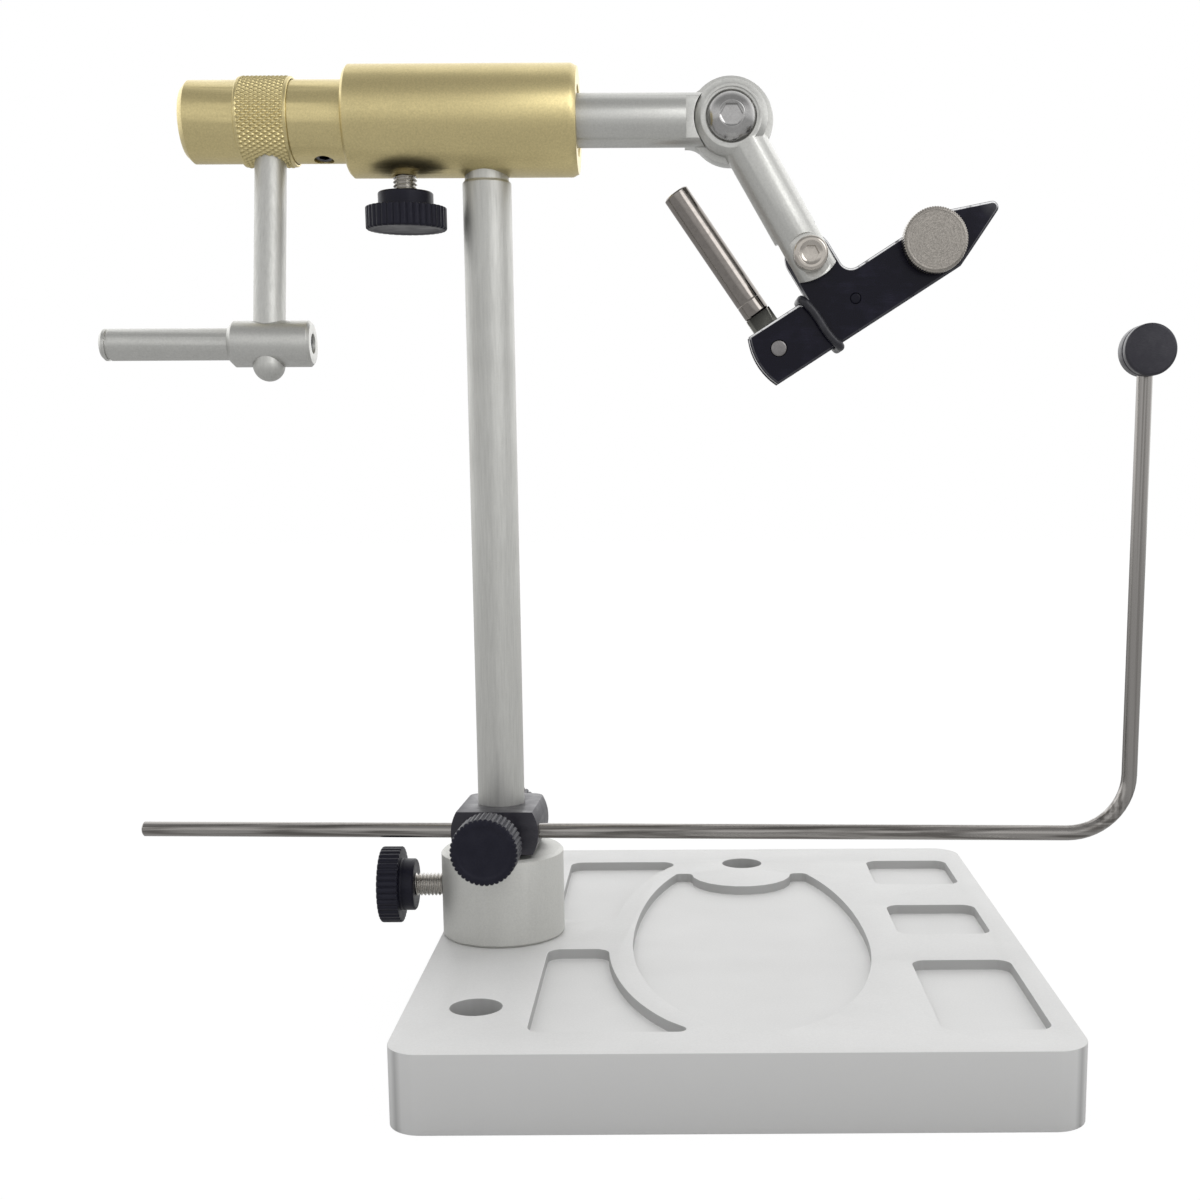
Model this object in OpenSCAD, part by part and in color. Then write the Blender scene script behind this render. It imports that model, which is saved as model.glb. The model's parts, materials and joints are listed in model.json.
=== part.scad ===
// Rotary fly tying vise on a heavy base plate, in millimetres.
// The origin is the middle of the base plate's underside. X runs to the right towards the
// jaws, Y runs away from the person who ties, and Z is up.

/* [Base plate] */
// Width of the plate, left to right
base_w = 125; // [115:1:180]
// Length of the plate, front to back
base_l = 150; // [130:1:200]
// Thickness of the plate
base_t = 15; // [10:0.5:20]
// Radius of the plate's upright corners
base_corner_r = 6.5; // [3:0.5:12]
// Depth of the tray pockets
pocket_depth = 2.2; // [1:0.1:4]
// Radius in the corners of the tray pockets
pocket_r = 3; // [1.5:0.1:3.2]
// Distance of the post from the plate's left edge
post_in = 13.5; // [13.5:0.5:20]
// Diameter of the two spare sockets
socket_d = 10; // [8:0.1:10.5]
// Distance of the front socket ahead of the post
front_socket_reach = 50; // [45:0.5:60]
// Distance of the back socket to the right of the plate's middle
back_socket_x = 5.5; // [0:0.5:8]
// Distance of the back socket from the plate's back edge
back_socket_in = 15; // [9:0.5:18]

/* [Post] */
// Diameter of the post holder
holder_d = 26.5; // [24:0.5:32]
// Height of the post holder
holder_h = 19; // [17:0.5:30]
// Thickness of the holder's floor under the post
holder_floor = 6; // [4:0.5:8]
// Diameter of the post
post_d = 10; // [8:0.1:11]
// Height of the rotary axis above the table
axis_h = 185.8; // [160:0.5:220]

/* [Thumb screws] */
// Diameter of the large black knobs
knob_d = 16.6; // [14:0.1:20]
// Thickness of the large knobs' ribbed rim
knob_rim = 4.5; // [3:0.1:7]
// Diameter of the large knobs' hub
knob_hub_d = 11.3; // [9:0.1:13]
// Length of the large knobs' hub
knob_hub = 3; // [2:0.1:5]
// Diameter of the front clamp knob
clamp_knob_d = 14; // [12:0.1:16]
// Thickness of the front clamp knob's ribbed rim
clamp_knob_rim = 7; // [4:0.1:8]
// Diameter of the front clamp knob's hub
clamp_hub_d = 10.6; // [8:0.1:11.5]
// Length of the front clamp knob's hub
clamp_hub = 2.6; // [1.5:0.1:4]
// Diameter of the rear clamp knob
rear_knob_d = 10.4; // [9:0.1:10.8]
// Thickness of the rear clamp knob's ribbed rim
rear_knob_rim = 5; // [4:0.1:7]
// Diameter of the rear clamp knob's hub
rear_knob_hub_d = 8; // [7.5:0.1:8.5]
// Ribs round the large knobs and the front clamp knob
rib_count = 34; // [24:1:48]
// Depth of the ribs
rib_depth = 0.45; // [0.2:0.05:0.6]
// Diameter of the threaded studs
stud_d = 5; // [4:0.5:6]

/* [Thread rest] */
// Height of the clamp block's middle above the table
clamp_h = 39.5; // [39.5:0.5:150]
// Diameter of the clamp block before its flats
clamp_d = 18.6; // [17:0.1:22]
// Height of the clamp block between its flats
clamp_t = 9.2; // [8:0.1:12]
// Turn of the thread rest about the post, in degrees
clamp_turn = 2.5; // [0:0.5:10]
// Diameter of the bent rod
rest_rod_d = 3.2; // [3:0.1:4]
// Distance of the rod in front of the post's axis
rest_rod_y = 7.4; // [7.2:0.1:8]
// Length of the rod to the left of the post
rest_left = 76.5; // [40:0.5:100]
// Distance of the rod's upright to the right of the post
rest_right = 133.2; // [125:0.1:160]
// Radius of the bend, on the rod's centreline
rest_bend_r = 12.5; // [8:0.5:20]
// Height of the thread discs above the table
disc_h = 138.5; // [120:0.5:160]
// Diameter of the thread discs
disc_d = 10.3; // [9:0.1:14]
// Thickness of the front disc
disc_t = 2.9; // [2:0.1:4]
// Thickness of the back disc, which holds the rod
disc_hub_t = 4.2; // [4:0.1:6]

/* [Rotary head] */
// Diameter of the barrel
barrel_d = 22; // [20:0.5:26]
// Length of the barrel
barrel_l = 46.6; // [40:0.1:60]
// Length of the barrel to the right of the post
barrel_front = 18.9; // [15:0.1:25]
// Distance of the brake screw to the left of the post
brake_offset = 16.75; // [15:0.05:18]
// Bore of the barrel, which takes the bushes
barrel_bore = 14; // [13:0.1:15]
// Length of the front bush
front_bush_l = 11; // [8:0.5:12]
// Length of the rear bush
rear_bush_l = 7.8; // [5:0.1:8]
// Diameter of the rotary shaft
shaft_d = 10.6; // [10:0.1:11]
// Diameter of the shaft's rear spigot
spigot_d = 8; // [6:0.1:8.5]
// Length of the shaft's rear spigot
spigot_l = 11.4; // [9:0.1:11.6]
// Diameter of the rear hub
hub_d = 16.2; // [15:0.1:18]
// Length of the rear hub
hub_l = 33; // [30:0.1:40]
// Diameter of the knurled band
band_d = 17.8; // [17:0.1:20]
// Width of the knurled band
band_w = 10.7; // [9:0.1:14]
// Length of the rear hub in front of the knurled band
hub_neck = 10.9; // [9:0.1:12]
// Distance of the crank arm behind the rear hub's front end
crank_in = 15.9; // [13.5:0.1:18]

/* [Crank] */
// Lean of the crank arm towards the front at rest, in degrees
crank_lean = 12; // [0:1:30]
// Diameter of the crank arm
crank_d = 6.4; // [5:0.1:7]
// Distance of the handle from the rotary axis
crank_reach = 45.8; // [38:0.1:55]
// Length of the crank arm beyond the handle's middle
crank_tail = 7.6; // [6:0.1:10]
// Diameter of the handle's thick part
handle_hub_d = 9.2; // [8.6:0.1:10]
// Length of the handle's thick part
handle_hub_l = 16.7; // [14:0.1:20]
// Length of the handle to the right of the crank arm
handle_right = 8.9; // [6:0.1:10]
// Length of the handle's thin part
handle_l = 25.9; // [20:0.1:40]
// Diameter of the handle's thin part
handle_d = 6.4; // [5:0.1:8]

/* [Elbow and arm] */
// Distance of the elbow to the right of the post
elbow_offset = 50; // [44:0.5:60]
// Diameter of the ear on the shaft
shaft_ear_d = 17.3; // [16:0.1:20]
// Diameter of the ear on the arm
arm_ear_d = 14.8; // [14:0.1:18]
// Diameter of the arm
arm_d = 9.4; // [9:0.1:10]
// Length of the arm between its two screws
arm_l = 31.56; // [28:0.1:40]
// Slope of the arm below level at rest, in degrees
arm_slope = 59.56; // [30:0.5:75]
// Length of the arm beyond its lower screw
arm_tip = 4.9; // [4:0.1:5.5]

/* [Jaws] */
// Slope of the jaws above level at rest, in degrees
jaw_slope = 32.3; // [0:0.5:45]
// Distance from the cam pin to the jaws' tips
jaw_reach = 53.4; // [50:0.1:60]
// Distance from the cam pin to the jaws' rear end
jaw_back = 5.25; // [5:0.05:7]
// Height of the jaws above the cam pin
jaw_up = 5.3; // [5:0.1:6]
// Height of the jaws below the cam pin
jaw_down = 6.1; // [5.5:0.1:7]
// Thickness of the fixed jaw
fixed_jaw_t = 2.8; // [2.4:0.1:3]
// Thickness of the moving jaw
moving_jaw_t = 3.2; // [3:0.1:3.5]
// Gap between the two jaws behind their tips
jaw_gap = 1.6; // [1.5:0.1:2]
// Distance of the fixed jaw's front face in front of the rotary axis
jaw_front = 1.7; // [1.5:0.1:1.8]
// Distance from the cam pin to the adjusting screw
adjuster_s = 38; // [36:0.1:40]
// Diameter of the adjusting screw's head
adjuster_d = 13.2; // [10:0.1:14]
// Thickness of the adjusting screw's head
adjuster_t = 4.3; // [3:0.1:6]
// Distance from the cam pin to the tab's middle, along the jaws
tab_s = 15; // [14.5:0.1:16]
// Width of the tab that the arm holds
tab_w = 9.8; // [9:0.1:10.4]
// Height of the tilt screw above the cam pin, across the jaws
tilt_up = 12.33; // [12:0.05:14]
// Diameter of the cam pin
cam_pin_d = 3.5; // [3:0.1:4]
// Diameter of the cam lever
lever_d = 5.6; // [4:0.1:6]
// Length of the cam lever from its pin
lever_l = 38.1; // [30:0.1:50]
// Diameter of the rubber ring's cord
ring_cord = 1.8; // [1.2:0.1:2]

/* [Hidden] */
$fn = 64;

// Clearances: between parts that turn or slide, and between parts fixed together
run = 0.05;
snug = 0.01;
// Gap between the face of a turning part and the face beside it
side_gap = 0.1;
// Length that every cut runs past the surface it opens
over = 1;
// Edge break on turned parts
edge = 0.6;
fine_edge = 0.3;

// Tray pockets: borders of the plate, the dish in the middle and the rows beside it
tray_front = 11;
tray_back = 13.4;
tray_right = 4.8;
tray_left = 24.3;
tray_left_w = 12.6;
tray_col_w = 20.3;
tray_cell_l = 23.4;
tray_row_gap = 18.6;
tray_wall = 5.2;
post_land_back = 9.4;
post_land_front = 13.4;
dish_wall = 7.2;
dish_widest = 7;
dish_shoulder = 25.5;
dish_ledge = 3.6;
dish_back_share = 1.29;
outline_steps = 24;
corner_steps = 6;
scallop_steps = 11;

// Base screw, a socket cap screw from below
base_screw_d = 6;
base_head_d = 10;
base_head_l = 6;
base_head_sink = 0.6;
base_hex = 5;
base_hex_depth = 3;
head_room = 0.5;

// Post
post_chamfer = 0.5;
post_neck_d = 9;
post_neck_low = 0.8;
post_neck_in = 0.1;
holder_screw_share = 0.57;

// Knobs and studs
knob_chamfer = 0.9;
stud_embed_share = 0.7;
holder_knob_gap = 5.75;
brake_knob_gap = 2.9;
front_clamp_gap = 4.9;
rear_clamp_gap = 2.2;
clamp_screw_drop = 0.7;
rib_land_share = 0.55;

// Clamp block
clamp_front = 10.5;
clamp_back = 9.8;
clamp_round = 2.8;

// Thread discs
rivet_d = 3;
rivet_head_d = 5;
rivet_head_t = 0.6;
rivet_blind = 1;
rod_stop = 2.6;
disc_edge = 0.35;

// Brake pad, hub grub, handle grub
pad_d = 4.8;
pad_out = 8;
grub_d = 4;
grub_hex = 2;
grub_hex_depth = 1.4;
grub_sink = 0.2;
hub_grub_s = 5;
crank_past = 2;
crank_dome_share = 0.9;
handle_shoulder = 1;
handle_groove = 0.35;
handle_groove_w = 0.6;
handle_groove_in = 1.2;

// Elbow: half laps of the shaft and the arm, and a button head screw
lap_step = 9.1;
neck_flat = 3.4;
neck_in = 4;
ear_seat_gap = 0.15;
arm_ear_chamfer = 1.2;
ear_fillet = 4;
shaft_lap = shaft_d / 2 - fine_edge;
arm_ear_t = 4.35;
arm_full = 9.2;
elbow_screw_d = 6;
button_d = 10.5;
button_h = 3.3;
button_hex = 4;
button_hex_depth = 1.8;
elbow_spot_d = 11.4;
elbow_spot = 0.35;
elbow_thread_short = 0.4;

// Tilt screw and the arm's lower lap
tilt_screw_d = 4;
cap_d = 7;
cap_h = 4;
cap_hex = 3;
cap_hex_depth = 2;
tilt_spot_d = 9;
tilt_spot = 0.8;
tab_room = 0.6;
arm_end_r = 8.3;
tab_fillet = 2.5;

// Jaws: outline, nose, cam recess, pins and the groove for the rubber ring
jaw_rear_r = 13.6;
jaw_top_corner = 10.7;
jaw_low_corner = 13;
nose_r = 1.3;
nose_up = 0.4;
nose_l = 9;
nose_touch = 0.02;
tip_thin = 1.2;
tip_slope_l = 9.5;
recess_s = 6;
recess_t = 1.5;
cam_d = 10;
cam_mid = 1.25;
cam_rise = 0.86;
cam_phase = 60;
tongue_t = 1.75;
tongue_root = 8.4;
tongue_foot_share = 0.25;
lever_lean = 2.6;
lever_shift = 0.6;
cam_pad_d = 2.4;
cam_pad_r = 4;
cam_pad_gap = 0.03;
guide_pin_d = 2.3;
guide_pin_s = 18.7;
pin_room = 0.3;
adjuster_thread = 4;
adjuster_up = 1;
adjuster_rib = 0.25;
adjuster_ribs = 48;
ring_s = 9.9;
ring_lean = 8.4;
ring_sink = 0.4;
ring_room = 0.3;
ring_corner = 1.3;

// Derived places
post_x = post_in - base_w / 2;
post_r = post_d / 2;
tray_y0 = tray_front - base_l / 2;
tray_y1 = base_l / 2 - tray_back;
left_x = tray_left - base_w / 2;
col_x1 = base_w / 2 - tray_right;
dish_x0 = left_x + tray_left_w + tray_wall;
dish_x1 = col_x1 - tray_col_w - dish_wall;
dish_x = (dish_x0 + dish_x1) / 2;
dish_half_w = (dish_x1 - dish_x0) / 2;
shoulder_y = base_l / 2 - dish_shoulder;
dish_front_l = -dish_widest - tray_y0;
dish_back_l = (shoulder_y + dish_widest) * dish_back_share;
holder_top = base_t + holder_h;
post_foot = base_t + holder_floor;
post_top = axis_h - barrel_d / 2 - post_neck_low;
barrel_x1 = post_x + barrel_front;
barrel_x0 = barrel_x1 - barrel_l;
hub_x1 = barrel_x0 - side_gap;
hub_x0 = hub_x1 - hub_l;
crank_x = hub_x1 - crank_in;
elbow_x = post_x + elbow_offset;
pivot_x = elbow_x + arm_l * cos(arm_slope);
pivot_z = axis_h - arm_l * sin(arm_slope);
jaw_y0 = -jaw_front;
jaw_y1 = jaw_y0 + fixed_jaw_t;
jaw_y2 = jaw_y1 + jaw_gap;
jaw_y3 = jaw_y2 + moving_jaw_t;
jaw_mid = (jaw_y1 + jaw_y2) / 2;
recess_y = jaw_y2 + recess_t;
cam_y = jaw_y1 + run;
cam_mid_y = jaw_y1 + cam_mid;
cam_tilt = atan(cam_rise / (cam_d / 2));
pad_y = cam_mid_y + cam_pad_r * tan(cam_tilt) * cos(cam_phase) + cam_pad_gap;

// Shared shapes

// A round bar along X from x0 to x1
module bar_x(d, x0, x1) {
    translate([x0, 0, 0]) rotate([0, 90, 0]) cylinder(d = d, h = x1 - x0);
}

// A round bar along Y from y0 to y1
module bar_y(d, y0, y1) {
    translate([0, y1, 0]) rotate([90, 0, 0]) cylinder(d = d, h = y1 - y0);
}

// A flat outline in X and Z, as a plate from y0 to y1
module plate_y(y0, y1) {
    translate([0, y1, 0]) rotate([90, 0, 0]) linear_extrude(y1 - y0) children();
}

// A turned bar along Z from z0 to z1 with both edges broken by e
module turned_bar(d, z0, z1, e) {
    r = d / 2;
    rotate_extrude()
        polygon([[0, z0], [r - e, z0], [r, z0 + e], [r, z1 - e], [r - e, z1], [0, z1]]);
}

// A hexagon socket that opens towards +Z at z = 0
module hex_cut(across, depth) {
    translate([0, 0, -depth]) cylinder(d = across / cos(30), h = depth + over, $fn = 6);
}

// Ribbed outline: flat lands with gaps cut to the given depth
module ribbed(d, depth, count) {
    pitch = 360 / count;
    land = pitch * rib_land_share / 2;
    foot = pitch * (1 - rib_land_share) / 4;
    polygon([
        for (i = [0 : count - 1])
            for (p = [[-land, d / 2], [land, d / 2],
                      [land + foot, d / 2 - depth], [pitch - land - foot, d / 2 - depth]])
                p[1] * [cos(i * pitch + p[0]), sin(i * pitch + p[0])]
    ]);
}

// Black knob: its hub ends at z = 0, and the stud leaves towards +Z. A round core with
// broken edges carries the ribbed band.
module knob(d, rim, hub_dia, hub_len, ribs = rib_count) {
    low = -hub_len - rim;
    embed = (hub_len + rim) * stud_embed_share;
    difference() {
        union() {
            turned_bar(d - 2 * rib_depth - fine_edge, low, -hub_len, knob_chamfer - rib_depth);
            translate([0, 0, low + knob_chamfer])
                linear_extrude(rim - knob_chamfer - fine_edge) ribbed(d, rib_depth, ribs);
            cylinder_from(hub_dia, -hub_len - fine_edge, 0);
        }
        translate([0, 0, -embed]) cylinder(d = stud_d + 2 * snug, h = embed + over);
    }
}

// Stud moulded into a knob, reaching l beyond the hub
module stud(rim, hub_len, l) {
    turned_bar(stud_d, -(hub_len + rim) * stud_embed_share, l, fine_edge);
}

// Places
module at_holder_screw() {
    translate([post_x - holder_d / 2 - holder_knob_gap, 0, base_t + holder_h * holder_screw_share])
        rotate([0, 90, 0]) children();
}

module at_brake_screw() {
    translate([post_x - brake_offset, 0, axis_h - barrel_d / 2 - brake_knob_gap]) children();
}

module at_clamp() {
    translate([post_x, 0, clamp_h]) rotate([0, 0, -clamp_turn]) children();
}

module at_front_clamp_screw() {
    at_clamp() translate([0, -clamp_front - front_clamp_gap, -clamp_screw_drop])
        rotate([-90, 0, 0]) children();
}

module at_rear_clamp_screw() {
    at_clamp() translate([0, clamp_back + rear_clamp_gap, -clamp_screw_drop])
        rotate([90, 0, 0]) children();
}

module at_discs() {
    at_clamp() translate([rest_right, -rest_rod_y, disc_h - clamp_h]) children();
}

module at_axis() {
    translate([0, 0, axis_h]) children();
}

// The crank's frame: +Z runs from the rotary axis down along the crank arm
module at_crank() {
    translate([crank_x, 0, axis_h]) rotate([180 - crank_lean, 0, 0]) children();
}

module at_elbow() {
    translate([elbow_x, 0, axis_h]) children();
}

// The arm's frame: +X runs from the elbow to the tilt screw
module at_arm() {
    at_elbow() rotate([0, arm_slope, 0]) children();
}

// The jaws' frame: the cam pin is the origin, and +X runs to the tips
module at_jaws() {
    translate([pivot_x, 0, pivot_z]) rotate([0, -jaw_slope, 0])
        translate([-tab_s, 0, -tilt_up]) children();
}

// Base plate

module rounded_rect(w, l, r) {
    square([w - 2 * r, l], center = true);
    square([w, l - 2 * r], center = true);
    for (x = [-1, 1], y = [-1, 1])
        translate([x * (w / 2 - r), y * (l / 2 - r)]) circle(r = r);
}

// Half width of the dish's outline at a place y, on an oval that is larger by grow
function dish_half(y, grow) =
    let (
        along = y + dish_widest,
        l = (along < 0 ? dish_front_l : dish_back_l) + grow
    )
    (dish_half_w + grow) * sqrt(max(0, 1 - along * along / (l * l)));

// Points of a rounded corner at b, between the lines from a and to c
function corner(a, b, c, r) =
    let (
        u = (a - b) / norm(a - b),
        v = (c - b) / norm(c - b),
        half = acos(u * v) / 2,
        reach = r / tan(half),
        middle = b + (u + v) / norm(u + v) * r / sin(half),
        from = b + u * reach - middle,
        to = b + v * reach - middle,
        a0 = atan2(from[1], from[0]),
        turn = atan2(from[0] * to[1] - from[1] * to[0], from * to)
    )
    [for (i = [0 : corner_steps])
        middle + r * [cos(a0 + turn * i / corner_steps), sin(a0 + turn * i / corner_steps)]];

// An outline whose corners are rounded by the radius kept with each point
function rounded(points) =
    [for (i = [0 : len(points) - 1])
        let (n = len(points), p = points[i])
        each p[1] > 0
            ? corner(points[(i + n - 1) % n][0], p[0], points[(i + 1) % n][0], p[1])
            : [p[0]]];

// The dish: an oval, cut off at the back, with a round land that reaches in at the cut
module dish() {
    half = dish_half(shoulder_y, 0);
    land_r = half - dish_ledge;
    r = min(pocket_r, dish_ledge) / 2;
    turn_in = shoulder_y - 2 * r;
    back = turn_in + dish_widest;
    polygon(rounded(concat(
        [for (i = [0 : outline_steps])
            let (y = back * cos(90 * i / outline_steps) - dish_widest)
            [[dish_x - dish_half(y, 0), y], 0]],
        [for (i = [1 : 2 * outline_steps - 1])
            let (a = 180 + 90 * i / outline_steps)
            [[dish_x + dish_half_w * cos(a), dish_front_l * sin(a) - dish_widest], 0]],
        [for (i = [0 : outline_steps])
            let (y = back * sin(90 * i / outline_steps) - dish_widest)
            [[dish_x + dish_half(y, 0), y], 0]],
        [[[dish_x + half, shoulder_y], r]],
        [for (i = [0 : scallop_steps])
            let (a = -180 * i / scallop_steps, at_end = i == 0 || i == scallop_steps)
            [[dish_x + land_r * cos(a), shoulder_y + land_r * sin(a)], at_end ? r : 0]],
        [[[dish_x - half, shoulder_y], r]]
    )));
}

// A left pocket from y0 to y1, whose right side follows the dish
module left_pocket(y0, y1) {
    low = y0 + 2 * pocket_r;
    high = y1 - 2 * pocket_r;
    polygon(rounded(concat(
        [[[left_x, y0], pocket_r]],
        [[[dish_x - dish_half(y0, tray_wall), y0], pocket_r / 2]],
        [for (i = [0 : outline_steps / 2])
            let (y = low + (high - low) * i / (outline_steps / 2))
            [[dish_x - dish_half(y, tray_wall), y], 0]],
        [[[dish_x - dish_half(y1, tray_wall), y1], pocket_r]],
        [[[left_x, y1], pocket_r]]
    )));
}

// A pocket of the right-hand row from y0 to y1
module right_pocket(y0, y1) {
    translate([col_x1 - tray_col_w / 2, (y0 + y1) / 2])
        rounded_rect(tray_col_w, y1 - y0, pocket_r);
}

module base_plate() {
    cell_pitch = tray_cell_l + tray_row_gap;
    color("Gainsboro") difference() {
        linear_extrude(base_t) rounded_rect(base_w, base_l, base_corner_r);
        translate([0, 0, base_t - pocket_depth]) linear_extrude(pocket_depth + over) {
            dish();
            left_pocket(tray_y0, -post_land_front);
            left_pocket(post_land_back, tray_y1);
            for (i = [0, 1])
                right_pocket(tray_y1 - i * cell_pitch - tray_cell_l, tray_y1 - i * cell_pitch);
            right_pocket(tray_y0, tray_y1 - 2 * cell_pitch);
        }
        for (p = [[post_x, -front_socket_reach], [back_socket_x, base_l / 2 - back_socket_in]])
            translate([p[0], p[1], -over]) cylinder(d = socket_d, h = base_t + 2 * over);
        translate([post_x, 0, -over])
            cylinder(d = base_screw_d + 2 * head_room, h = base_t + 2 * over);
        translate([post_x, 0, -over])
            cylinder(d = base_head_d + 2 * head_room, h = base_head_l + base_head_sink + over);
    }
}

module base_screw() {
    seat = base_head_l + base_head_sink;
    color("DimGray") translate([post_x, 0, 0]) difference() {
        union() {
            turned_bar(base_head_d, base_head_sink, seat, fine_edge);
            cylinder_from(base_screw_d, seat - fine_edge, post_foot - head_room);
        }
        translate([0, 0, base_head_sink]) mirror([0, 0, 1]) hex_cut(base_hex, base_hex_depth);
    }
}

// An upright round bar from z0 to z1
module cylinder_from(d, z0, z1) {
    translate([0, 0, z0]) cylinder(d = d, h = z1 - z0);
}

// Post and its holder

module post_holder() {
    color("Silver") difference() {
        translate([post_x, 0, 0]) turned_bar(holder_d, base_t, holder_top, edge);
        translate([post_x, 0, 0]) cylinder_from(post_d + 2 * run, post_foot, holder_top + over);
        translate([post_x, 0, 0])
            cylinder_from(base_screw_d + 2 * snug, base_t - over, post_foot + over);
        at_holder_screw() cylinder(d = stud_d + 2 * run, h = holder_knob_gap + holder_d / 2);
    }
}

module holder_knob() {
    color([0.13, 0.13, 0.15]) at_holder_screw() knob(knob_d, knob_rim, knob_hub_d, knob_hub);
}

module holder_stud() {
    reach = holder_knob_gap + holder_d / 2 - post_r - run;
    color("Silver") at_holder_screw() stud(knob_rim, knob_hub, reach);
}

module post() {
    neck_r = post_neck_d / 2;
    neck_top = axis_h - barrel_bore / 2 + post_neck_in;
    color("Silver") translate([post_x, 0, 0]) rotate_extrude() polygon([
        [0, post_foot], [post_r - edge, post_foot], [post_r, post_foot + edge],
        [post_r, post_top - post_chamfer], [post_r - post_chamfer, post_top], [neck_r, post_top],
        [neck_r, neck_top - fine_edge], [neck_r - fine_edge, neck_top], [0, neck_top]
    ]);
}

// Thread rest on the post

// Round block along Y with its rear edge rounded, between two flats
module clamp_block() {
    r = clamp_d / 2;
    color([0.16, 0.16, 0.18]) difference() {
        at_clamp() difference() {
            intersection() {
                rotate([-90, 0, 0]) rotate_extrude() polygon(concat(
                    [[0, -clamp_front], [r, -clamp_front]],
                    [for (i = [0 : corner_steps])
                        let (a = 90 * i / corner_steps)
                        [r - clamp_round * (1 - cos(a)), clamp_back - clamp_round * (1 - sin(a))]],
                    [[0, clamp_back]]
                ));
                translate([-clamp_d / 2 - over, -clamp_front - over, -clamp_t / 2])
                    cube([clamp_d + 2 * over, clamp_front + clamp_back + 2 * over, clamp_t]);
            }
            cylinder_from(post_d + 2 * run, -clamp_t, clamp_t);
            translate([0, -rest_rod_y, 0]) bar_x(rest_rod_d + 2 * run, -clamp_d, clamp_d);
        }
        at_front_clamp_screw()
            cylinder(d = stud_d + 2 * run, h = front_clamp_gap + clamp_front - rest_rod_y);
        at_rear_clamp_screw()
            cylinder(d = stud_d + 2 * run, h = rear_clamp_gap + clamp_back - post_r + run);
    }
}

module front_clamp_knob() {
    color([0.13, 0.13, 0.15]) at_front_clamp_screw()
        knob(clamp_knob_d, clamp_knob_rim, clamp_hub_d, clamp_hub);
}

module front_clamp_stud() {
    reach = front_clamp_gap + clamp_front - rest_rod_y - rest_rod_d / 2 - run;
    color("Silver") at_front_clamp_screw() stud(clamp_knob_rim, clamp_hub, reach);
}

module rear_clamp_knob() {
    ribs = round(rib_count * rear_knob_d / clamp_knob_d);
    color([0.13, 0.13, 0.15]) at_rear_clamp_screw()
        knob(rear_knob_d, rear_knob_rim, rear_knob_hub_d, clamp_hub, ribs);
}

module rear_clamp_stud() {
    reach = rear_clamp_gap + clamp_back - post_r - run;
    color("Silver") at_rear_clamp_screw() stud(rear_knob_rim, clamp_hub, reach);
}

// Rod: level through the clamp, one bend, then upright to the thread discs
module rest_rod() {
    top = disc_h - clamp_h - rod_stop;
    color("Silver") at_clamp() translate([0, -rest_rod_y, 0]) {
        translate([-rest_left, 0, 0]) rotate([0, 90, 0])
            turned_bar(rest_rod_d, 0, rest_left + rest_right - rest_bend_r + fine_edge, fine_edge);
        translate([rest_right - rest_bend_r, 0, rest_bend_r]) rotate([90, 0, 0])
            rotate([0, 0, -90]) rotate_extrude(angle = 90)
                translate([rest_bend_r, 0]) circle(d = rest_rod_d);
        translate([rest_right, 0, 0])
            turned_bar(rest_rod_d, rest_bend_r - fine_edge, top, fine_edge);
    }
}

module thread_disc_back() {
    color([0.14, 0.14, 0.15]) at_discs() difference() {
        rotate([90, 0, 0]) turned_bar(disc_d, -disc_hub_t / 2, disc_hub_t / 2, disc_edge);
        cylinder_from(rest_rod_d + 2 * snug, -disc_d, snug - rod_stop);
        bar_y(rivet_d + 2 * snug, -disc_hub_t, disc_hub_t);
        bar_y(rivet_head_d + 2 * snug, disc_hub_t / 2 - rivet_head_t, disc_hub_t);
    }
}

module thread_disc_front() {
    y1 = -disc_hub_t / 2 - run;
    color([0.14, 0.14, 0.15]) at_discs() difference() {
        rotate([90, 0, 0]) turned_bar(disc_d, -y1, disc_t - y1, disc_edge);
        bar_y(rivet_d + 2 * snug, y1 - disc_t + rivet_blind, 0);
    }
}

module thread_disc_rivet() {
    y0 = -disc_hub_t / 2 - disc_t + rivet_blind;
    y1 = disc_hub_t / 2;
    color("Silver") at_discs() {
        bar_y(rivet_d, y0, y1 - rivet_head_t / 2);
        bar_y(rivet_head_d, y1 - rivet_head_t + snug, y1);
    }
}

// Rotary head

module barrel() {
    r = barrel_d / 2;
    color([0.80, 0.70, 0.46]) difference() {
        at_axis() translate([barrel_x0, 0, 0]) rotate([0, 90, 0]) rotate_extrude()
            polygon([[barrel_bore / 2, 0], [r - edge, 0], [r, edge],
                     [r, barrel_l - 2 * edge], [r - edge, barrel_l], [barrel_bore / 2, barrel_l]]);
        translate([post_x, 0, 0]) cylinder_from(post_neck_d + 2 * snug, post_top, axis_h);
        at_brake_screw() cylinder(d = stud_d + 2 * run, h = brake_knob_gap + barrel_d / 2);
    }
}

// Bush in the barrel from x0 to x1
module bush(x0, x1) {
    color([0.83, 0.74, 0.52]) at_axis() difference() {
        bar_x(barrel_bore - 2 * snug, x0, x1);
        bar_x(shaft_d + 2 * run, x0 - over, x1 + over);
    }
}

module front_bush() {
    bush(barrel_x1 - front_bush_l, barrel_x1 - fine_edge);
}

module rear_bush() {
    bush(barrel_x0, barrel_x0 + rear_bush_l);
}

module brake_knob() {
    color([0.13, 0.13, 0.15]) at_brake_screw() knob(knob_d, knob_rim, knob_hub_d, knob_hub);
}

module brake_stud() {
    reach = brake_knob_gap + barrel_d / 2 - pad_out - run;
    color("Silver") at_brake_screw() stud(knob_rim, knob_hub, reach);
}

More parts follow.
